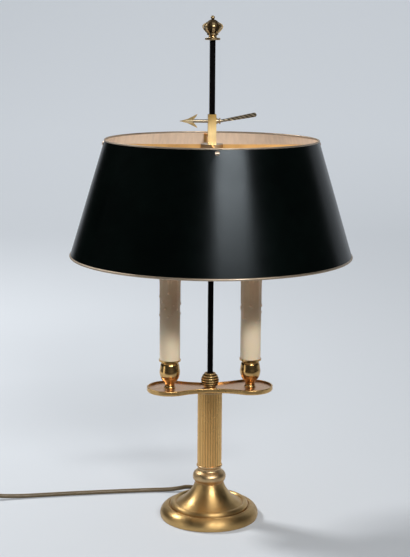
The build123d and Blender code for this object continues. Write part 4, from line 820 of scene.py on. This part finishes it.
class BOUILLOTTE_OT_brass(bpy.types.Operator):
    """Gives the foot, column, tray, cups, ball, shade fittings, arrow and finial their brass"""

    bl_idname = "bouillotte.brass"
    bl_label = "Brass"

    def execute(self, context):
        settings = context.scene.bouillotte_brass
        names = ("polished", "satin", "rose_reflection", "gold", "pale", "old_gold", "tarnish", "bead")
        polished, satin, rose_reflection, gold, pale, old, tarnish, bead = (
            tuple(getattr(settings, name)) for name in names
        )
        foot = lathe_brass("foot_brass", polished, tarnish, 0.37, streaks=0.7)
        dress(foot, "base_foot")
        collar = lathe_brass("collar_brass", COLLAR_BRASS, tarnish, 0.36, ring_depth=0.012)
        dress(collar, "base_collar", "column_cap")
        dress(fluted_brass("column_brass", satin, FLUTE_TARNISH_AND_SHADE), "fluted_column")
        low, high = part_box("stem_ball")
        centre = (0, 0, low.z + high.x - BALL_SEAT_DEPTH * MM)
        ball = old_gold("ball_gold", BALL_GOLD, BALL_HOLLOW_SHADE, centre, BALL_RADII)
        dress(ball, "stem_ball")
        tray = brushed_brass("tray_brass", gold, tarnish, 0.26, ACROSS, depth=0.003)
        # Painted reflection: a pink tint on the tray's upward faces below its rim
        below_rim = tray.below(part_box("candle_tray")[1].z, TRAY_RIM_DROPS, 1.0, 0.0)
        tray.over(tray.math("MULTIPLY", tray.upward(), below_rim), rose_reflection)
        dress(tray, "candle_tray", "tray_underplate")
        for side in SIDES:
            x = (sum(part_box(f"candle_cup_{side}"), Vector()) / 2).x
            cup = lathe_brass(f"cup_brass_{side}", gold, tarnish, 0.17, x=x, ring_depth=0.002)
            dress(cup, f"candle_cup_{side}")
        sleeve = brushed_brass("sleeve_brass", SLEEVE_LIT_BRASS, tarnish, 0.42, depth=0.002, age=0.1)
        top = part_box("slide_sleeve")[1].z
        # Painted reflection of the gilt inside the shade low down, and painted shade towards the
        # top
        sleeve.over(sleeve.below(top, SLEEVE_SHADE_DROPS, 0.0, 0.85), SLEEVE_SHADED)
        dress(sleeve, "slide_sleeve")
        clamp = brushed_brass("clamp_brass", CLAMP_BRASS, tarnish, 0.34)
        dress(clamp, "spider_hub", "clamp_screw")
        arm = brushed_brass("arm_brass", shaded(satin, 0.85), tarnish, 0.4, age=0.6)
        dress(arm, "spider_arms", "shade_nuts")
        dress(brushed_brass("screw_brass", SCREW_BRASS, tarnish, 0.3), "shade_screws")
        wire = brushed_brass("bead_brass", bead, tarnish, 0.42)
        dress(wire, "shade_top_bead", "shade_bottom_bead")
        dress(arrow_brass("arrow_brass", ARROW_BRASS, pale, HEAD_ROD), "arrow_head")
        lever = arrow_brass("lever_brass", pale, pale, LEVER_ROD, twisted=True)
        dress(lever, "feather_lever")
        low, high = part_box("finial_crown")
        belly = ((low.x + high.x) / 2, (low.y + high.y) / 2, low.z + CROWN_BELLY_RISE * MM)
        dress(old_gold("crown_gold", old, CROWN_HOLLOW_SHADE, belly, CROWN_RADII), "finial_crown")
        knob = old_gold("knob_gold", old, KNOB_HOLLOW_SHADE, belly, KNOB_RADII)
        dress(knob, "finial_base", "finial_orb")
        return {"FINISHED"}


class BOUILLOTTE_OT_shade(bpy.types.Operator):
    """Lacquers the shade outside, gilds it inside and paints the bar"""

    bl_idname = "bouillotte.shade"
    bl_label = "Shade and bar"

    def execute(self, context):
        settings = context.scene.bouillotte_shade
        dress(shade_lacquer(settings), "shade_shell")
        dress(bar_paint(settings), "stem")
        return {"FINISHED"}


class BOUILLOTTE_OT_fittings(bpy.types.Operator):
    """Finishes the rods, holders, bulbs, wires, weight and felt"""

    bl_idname = "bouillotte.fittings"
    bl_label = "Fittings"

    def execute(self, context):
        rod = threaded_metal("rod_thread", STEEL, 0.35, 1.0, 0.3)
        dress(rod, "tie_rod", *both("holder_tube"))
        plate = brushed_brass("zinc_plate", STEEL, STEEL_TARNISH, 0.35)
        dress(plate, "rod_washer", "rod_nut", *both("cup_nut"))
        dress(brushed_brass("pin_plate", NICKEL, NICKEL_TARNISH, 0.22, ACROSS), "plug_pins")
        dress(brushed_brass("switch_screw_plate", STEEL, STEEL_TARNISH, 0.3), "switch_screws")
        dress(threaded_metal("cap_thread", NICKEL, 0.3, 2.8, 0.8), *both("bulb_cap"))
        contact = brushed_brass("contact_plate", CONTACT_BRASS, CONTACT_TARNISH, 0.35)
        dress(contact, *both("holder_contact"), "switch_contacts")
        dress(moulded("holder_shell", HOLDER_IVORY, 0.5), *both("lampholder"), "terminal_block")
        dress(moulded("lead_sheath", LEAD_SHEATH, 0.45), *both("lead"))
        dress(bulb_glass(), *both("bulb_glass"))
        dress(cast_weight(), "base_weight")
        dress(felt(), "felt_pad")
        return {"FINISHED"}


# ---------------------------------------------------------------- candles


class BOUILLOTTE_OT_candles(bpy.types.Operator):
    """Models the wax candle covers with their runs and drops"""

    bl_idname = "bouillotte.candles"
    bl_label = "Candles"
    seeds = (11, 16)
    rings = 110
    around = 96
    bore_rings = 4
    radius = 11.7 * MM
    bore = 10.8 * MM
    waxed_from = 11.2 * MM
    run_length = 1.6 * MM
    drop_rise = 1.2 * MM
    drop_length = 1.8 * MM
    lip_drop = 1.5 * MM
    lip_length = 3 * MM
    lip_thickness = 0.3 * MM
    wave_thickness = 0.12 * MM
    wave_start = 220 * MM
    wave_fade = 20 * MM

    def execute(self, context):
        settings = context.scene.bouillotte_candles
        for side, seed in zip(SIDES, self.seeds):
            low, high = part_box(f"candle_cover_{side}")
            wax = candle_wax(f"candle_wax_{side}", settings, (low.x + high.x) / 2, high.z)
            chance = random.Random(seed)
            self.candle(side, self.runs(settings, chance), self.drops(settings, chance), wax)
        return {"FINISHED"}

    def extrude(self, rise, times):
        for _ in range(times):
            bpy.ops.mesh.extrude_region_move(TRANSFORM_OT_translate={"value": (0, 0, rise)})

    def runs(self, settings, chance):
        """Wax runs: angle, half width, thickness and the height where each ends."""
        made = []
        for k in range(settings.run_count):
            angle = 2 * math.pi * (k + chance.uniform(-0.3, 0.3)) / settings.run_count
            end = settings.run_end + chance.uniform(-12, 20) * MM
            thickness = settings.run_thickness * chance.uniform(0.6, 1.0)
            made.append((angle, chance.uniform(1.0, 1.8) * MM, thickness, end))
        return made

    def drops(self, settings, chance):
        """Single drops of wax: angle, height, half width and thickness."""
        made = []
        for k in range(settings.drop_count):
            angle = 2 * math.pi * (k + chance.uniform(-0.35, 0.35)) / settings.drop_count
            height = settings.run_end + chance.uniform(-14, 8) * MM
            thickness = settings.run_thickness * chance.uniform(0.8, 1.0)
            made.append((angle, height, chance.uniform(1.2, 1.7) * MM, thickness))
        return made

    def swell(self, angle, height, runs, drops, top):
        """How far the wax stands out of the plain candle at a place."""
        most = 0.0
        for drop_angle, drop_height, half_width, thickness in drops:
            across = (angle - drop_angle + math.pi) % (2 * math.pi) - math.pi
            apart = ((across * self.radius) ** 2 + (height - drop_height) ** 2) / half_width**2
            most = max(most, thickness * math.exp(-apart * apart))
        for run_angle, half_width, thickness, end in runs:
            across = (angle - run_angle + math.pi) % (2 * math.pi) - math.pi
            ridge = math.exp(-((across * self.radius / half_width) ** 2))
            drop = 0.85 * math.exp(-(((height - end - self.drop_rise) / self.drop_length) ** 2))
            share = eased((height - end) / self.run_length)
            most = max(most, thickness * ridge * min(1.3, share * (0.5 + drop)))
        lip = math.exp(-(((height - top + self.lip_drop) / self.lip_length) ** 2))
        wave = math.sin(3 * angle + height * 90)
        wave *= min(1.0, max(0.0, (height - self.wave_start) / self.wave_fade))
        return most + lip * self.lip_thickness + wave * self.wave_thickness

    def candle(self, side, runs, drops, wax):
        low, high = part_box(f"candle_cover_{side}")
        x, y = (low.x + high.x) / 2, (low.y + high.y) / 2
        tall = high.z - low.z
        deselect()
        bpy.ops.mesh.primitive_circle_add(
            vertices=self.around, radius=self.radius, location=(x, y, low.z)
        )
        piece = bpy.context.object
        bpy.ops.object.mode_set(mode="EDIT")
        self.extrude(tall / self.rings, self.rings)
        self.extrude(0, 1)
        inner = self.bore / self.radius
        bpy.ops.transform.resize(value=(inner, inner, 1), center_override=(x, y, high.z))
        self.extrude(-tall / self.bore_rings, self.bore_rings)
        pick(piece, lambda co: co.z < 1e-6)
        bpy.ops.mesh.select_mode(type="EDGE")
        bpy.ops.mesh.bridge_edge_loops()
        bpy.ops.mesh.select_all(action="SELECT")
        bpy.ops.mesh.normals_make_consistent(inside=False)
        bpy.ops.object.mode_set(mode="OBJECT")
        for vertex in piece.data.vertices:
            co = vertex.co
            away = math.hypot(co.x, co.y)
            if away > self.waxed_from:
                angle = math.atan2(co.y, co.x)
                grown = away + self.swell(angle, co.z + low.z, runs, drops, high.z)
                vertex.co = (co.x * grown / away, co.y * grown / away, co.z)
        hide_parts(f"candle_cover_{side}")
        finish_mesh(piece, f"candle_wax_{side}", wax, "root")


# Each wire's name, half thickness and points, in millimetres from a place in the bulb's cap
BULB_WIRE_RISE = 2
BULB_WIRES = (
    ("support_a", 0.3, ((-1, 0, 0), (-1.4, 0, 14), (-4.5, 0, 26), (-5, 0, 33))),
    ("support_b", 0.3, ((1, 0, 0), (1.4, 0, 14), (4.5, 0, 26), (5, 0, 33))),
    ("filament", 0.16, ((-5, 0, 33), (-2.5, 0.8, 36), (0, 0, 34.5), (2.5, -0.8, 36), (5, 0, 33))),
)


class BOUILLOTTE_OT_filaments(bpy.types.Operator):
    """Models the support wires and the filament in each bulb"""

    bl_idname = "bouillotte.filaments"
    bl_label = "Filaments"

    def execute(self, context):
        wire = moulded("support_wire", WIRE_GREY, 0.35)
        wire.set(metallic=1.0)
        for side in SIDES:
            low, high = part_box(f"bulb_glass_{side}")
            x, z = (low.x + high.x) / 2, low.z + BULB_WIRE_RISE * MM
            for kind, half_mm, points in BULB_WIRES:
                name = f"bulb_{kind}_{side}"
                route = [(x + px * MM, py * MM, z + pz * MM) for px, py, pz in points]
                piece = tube(name, route, half_mm * MM, roundness=2, resolution=12)
                deselect()
                piece.select_set(True)
                context.view_layer.objects.active = piece
                bpy.ops.object.convert(target="MESH")
                finish_mesh(context.object, name, wire, "root")
        return {"FINISHED"}


# ---------------------------------------------------------------- sidebar and registration

STEPS = (
    BOUILLOTTE_OT_stage,
    BOUILLOTTE_OT_cord,
    BOUILLOTTE_OT_brass,
    BOUILLOTTE_OT_shade,
    BOUILLOTTE_OT_fittings,
    BOUILLOTTE_OT_candles,
    BOUILLOTTE_OT_filaments,
)
GROUPS = {
    "bouillotte_brass": LampBrassSettings,
    "bouillotte_shade": LampShadeSettings,
    "bouillotte_candles": LampCandleSettings,
    "bouillotte_cord": LampCordSettings,
    "bouillotte_stage": LampStageSettings,
}


class BOUILLOTTE_PT_sidebar(bpy.types.Panel):
    """Sizes, colours and steps of the lamp"""

    bl_idname = "BOUILLOTTE_PT_sidebar"
    bl_label = "Bouillotte Lamp"
    bl_space_type = "VIEW_3D"
    bl_region_type = "UI"
    bl_category = "Lamp"

    def draw(self, context):
        for key, group in GROUPS.items():
            box = self.layout.box()
            for name in group.__annotations__:
                box.prop(getattr(context.scene, key), name)
        for step in STEPS:
            self.layout.operator(step.bl_idname)


def register():
    for group in GROUPS.values():
        bpy.utils.register_class(group)
    for step in STEPS:
        bpy.utils.register_class(step)
    bpy.utils.register_class(BOUILLOTTE_PT_sidebar)
    for key, group in GROUPS.items():
        setattr(bpy.types.Scene, key, PointerProperty(type=group))


def unregister():
    for key in GROUPS:
        delattr(bpy.types.Scene, key)
    for known in (BOUILLOTTE_PT_sidebar, *reversed(STEPS), *GROUPS.values()):
        bpy.utils.unregister_class(known)


def main():
    register()
    for step in STEPS:
        group, action = step.bl_idname.split(".")
        getattr(getattr(bpy.ops, group), action)()


if __name__ == "__main__":
    main()
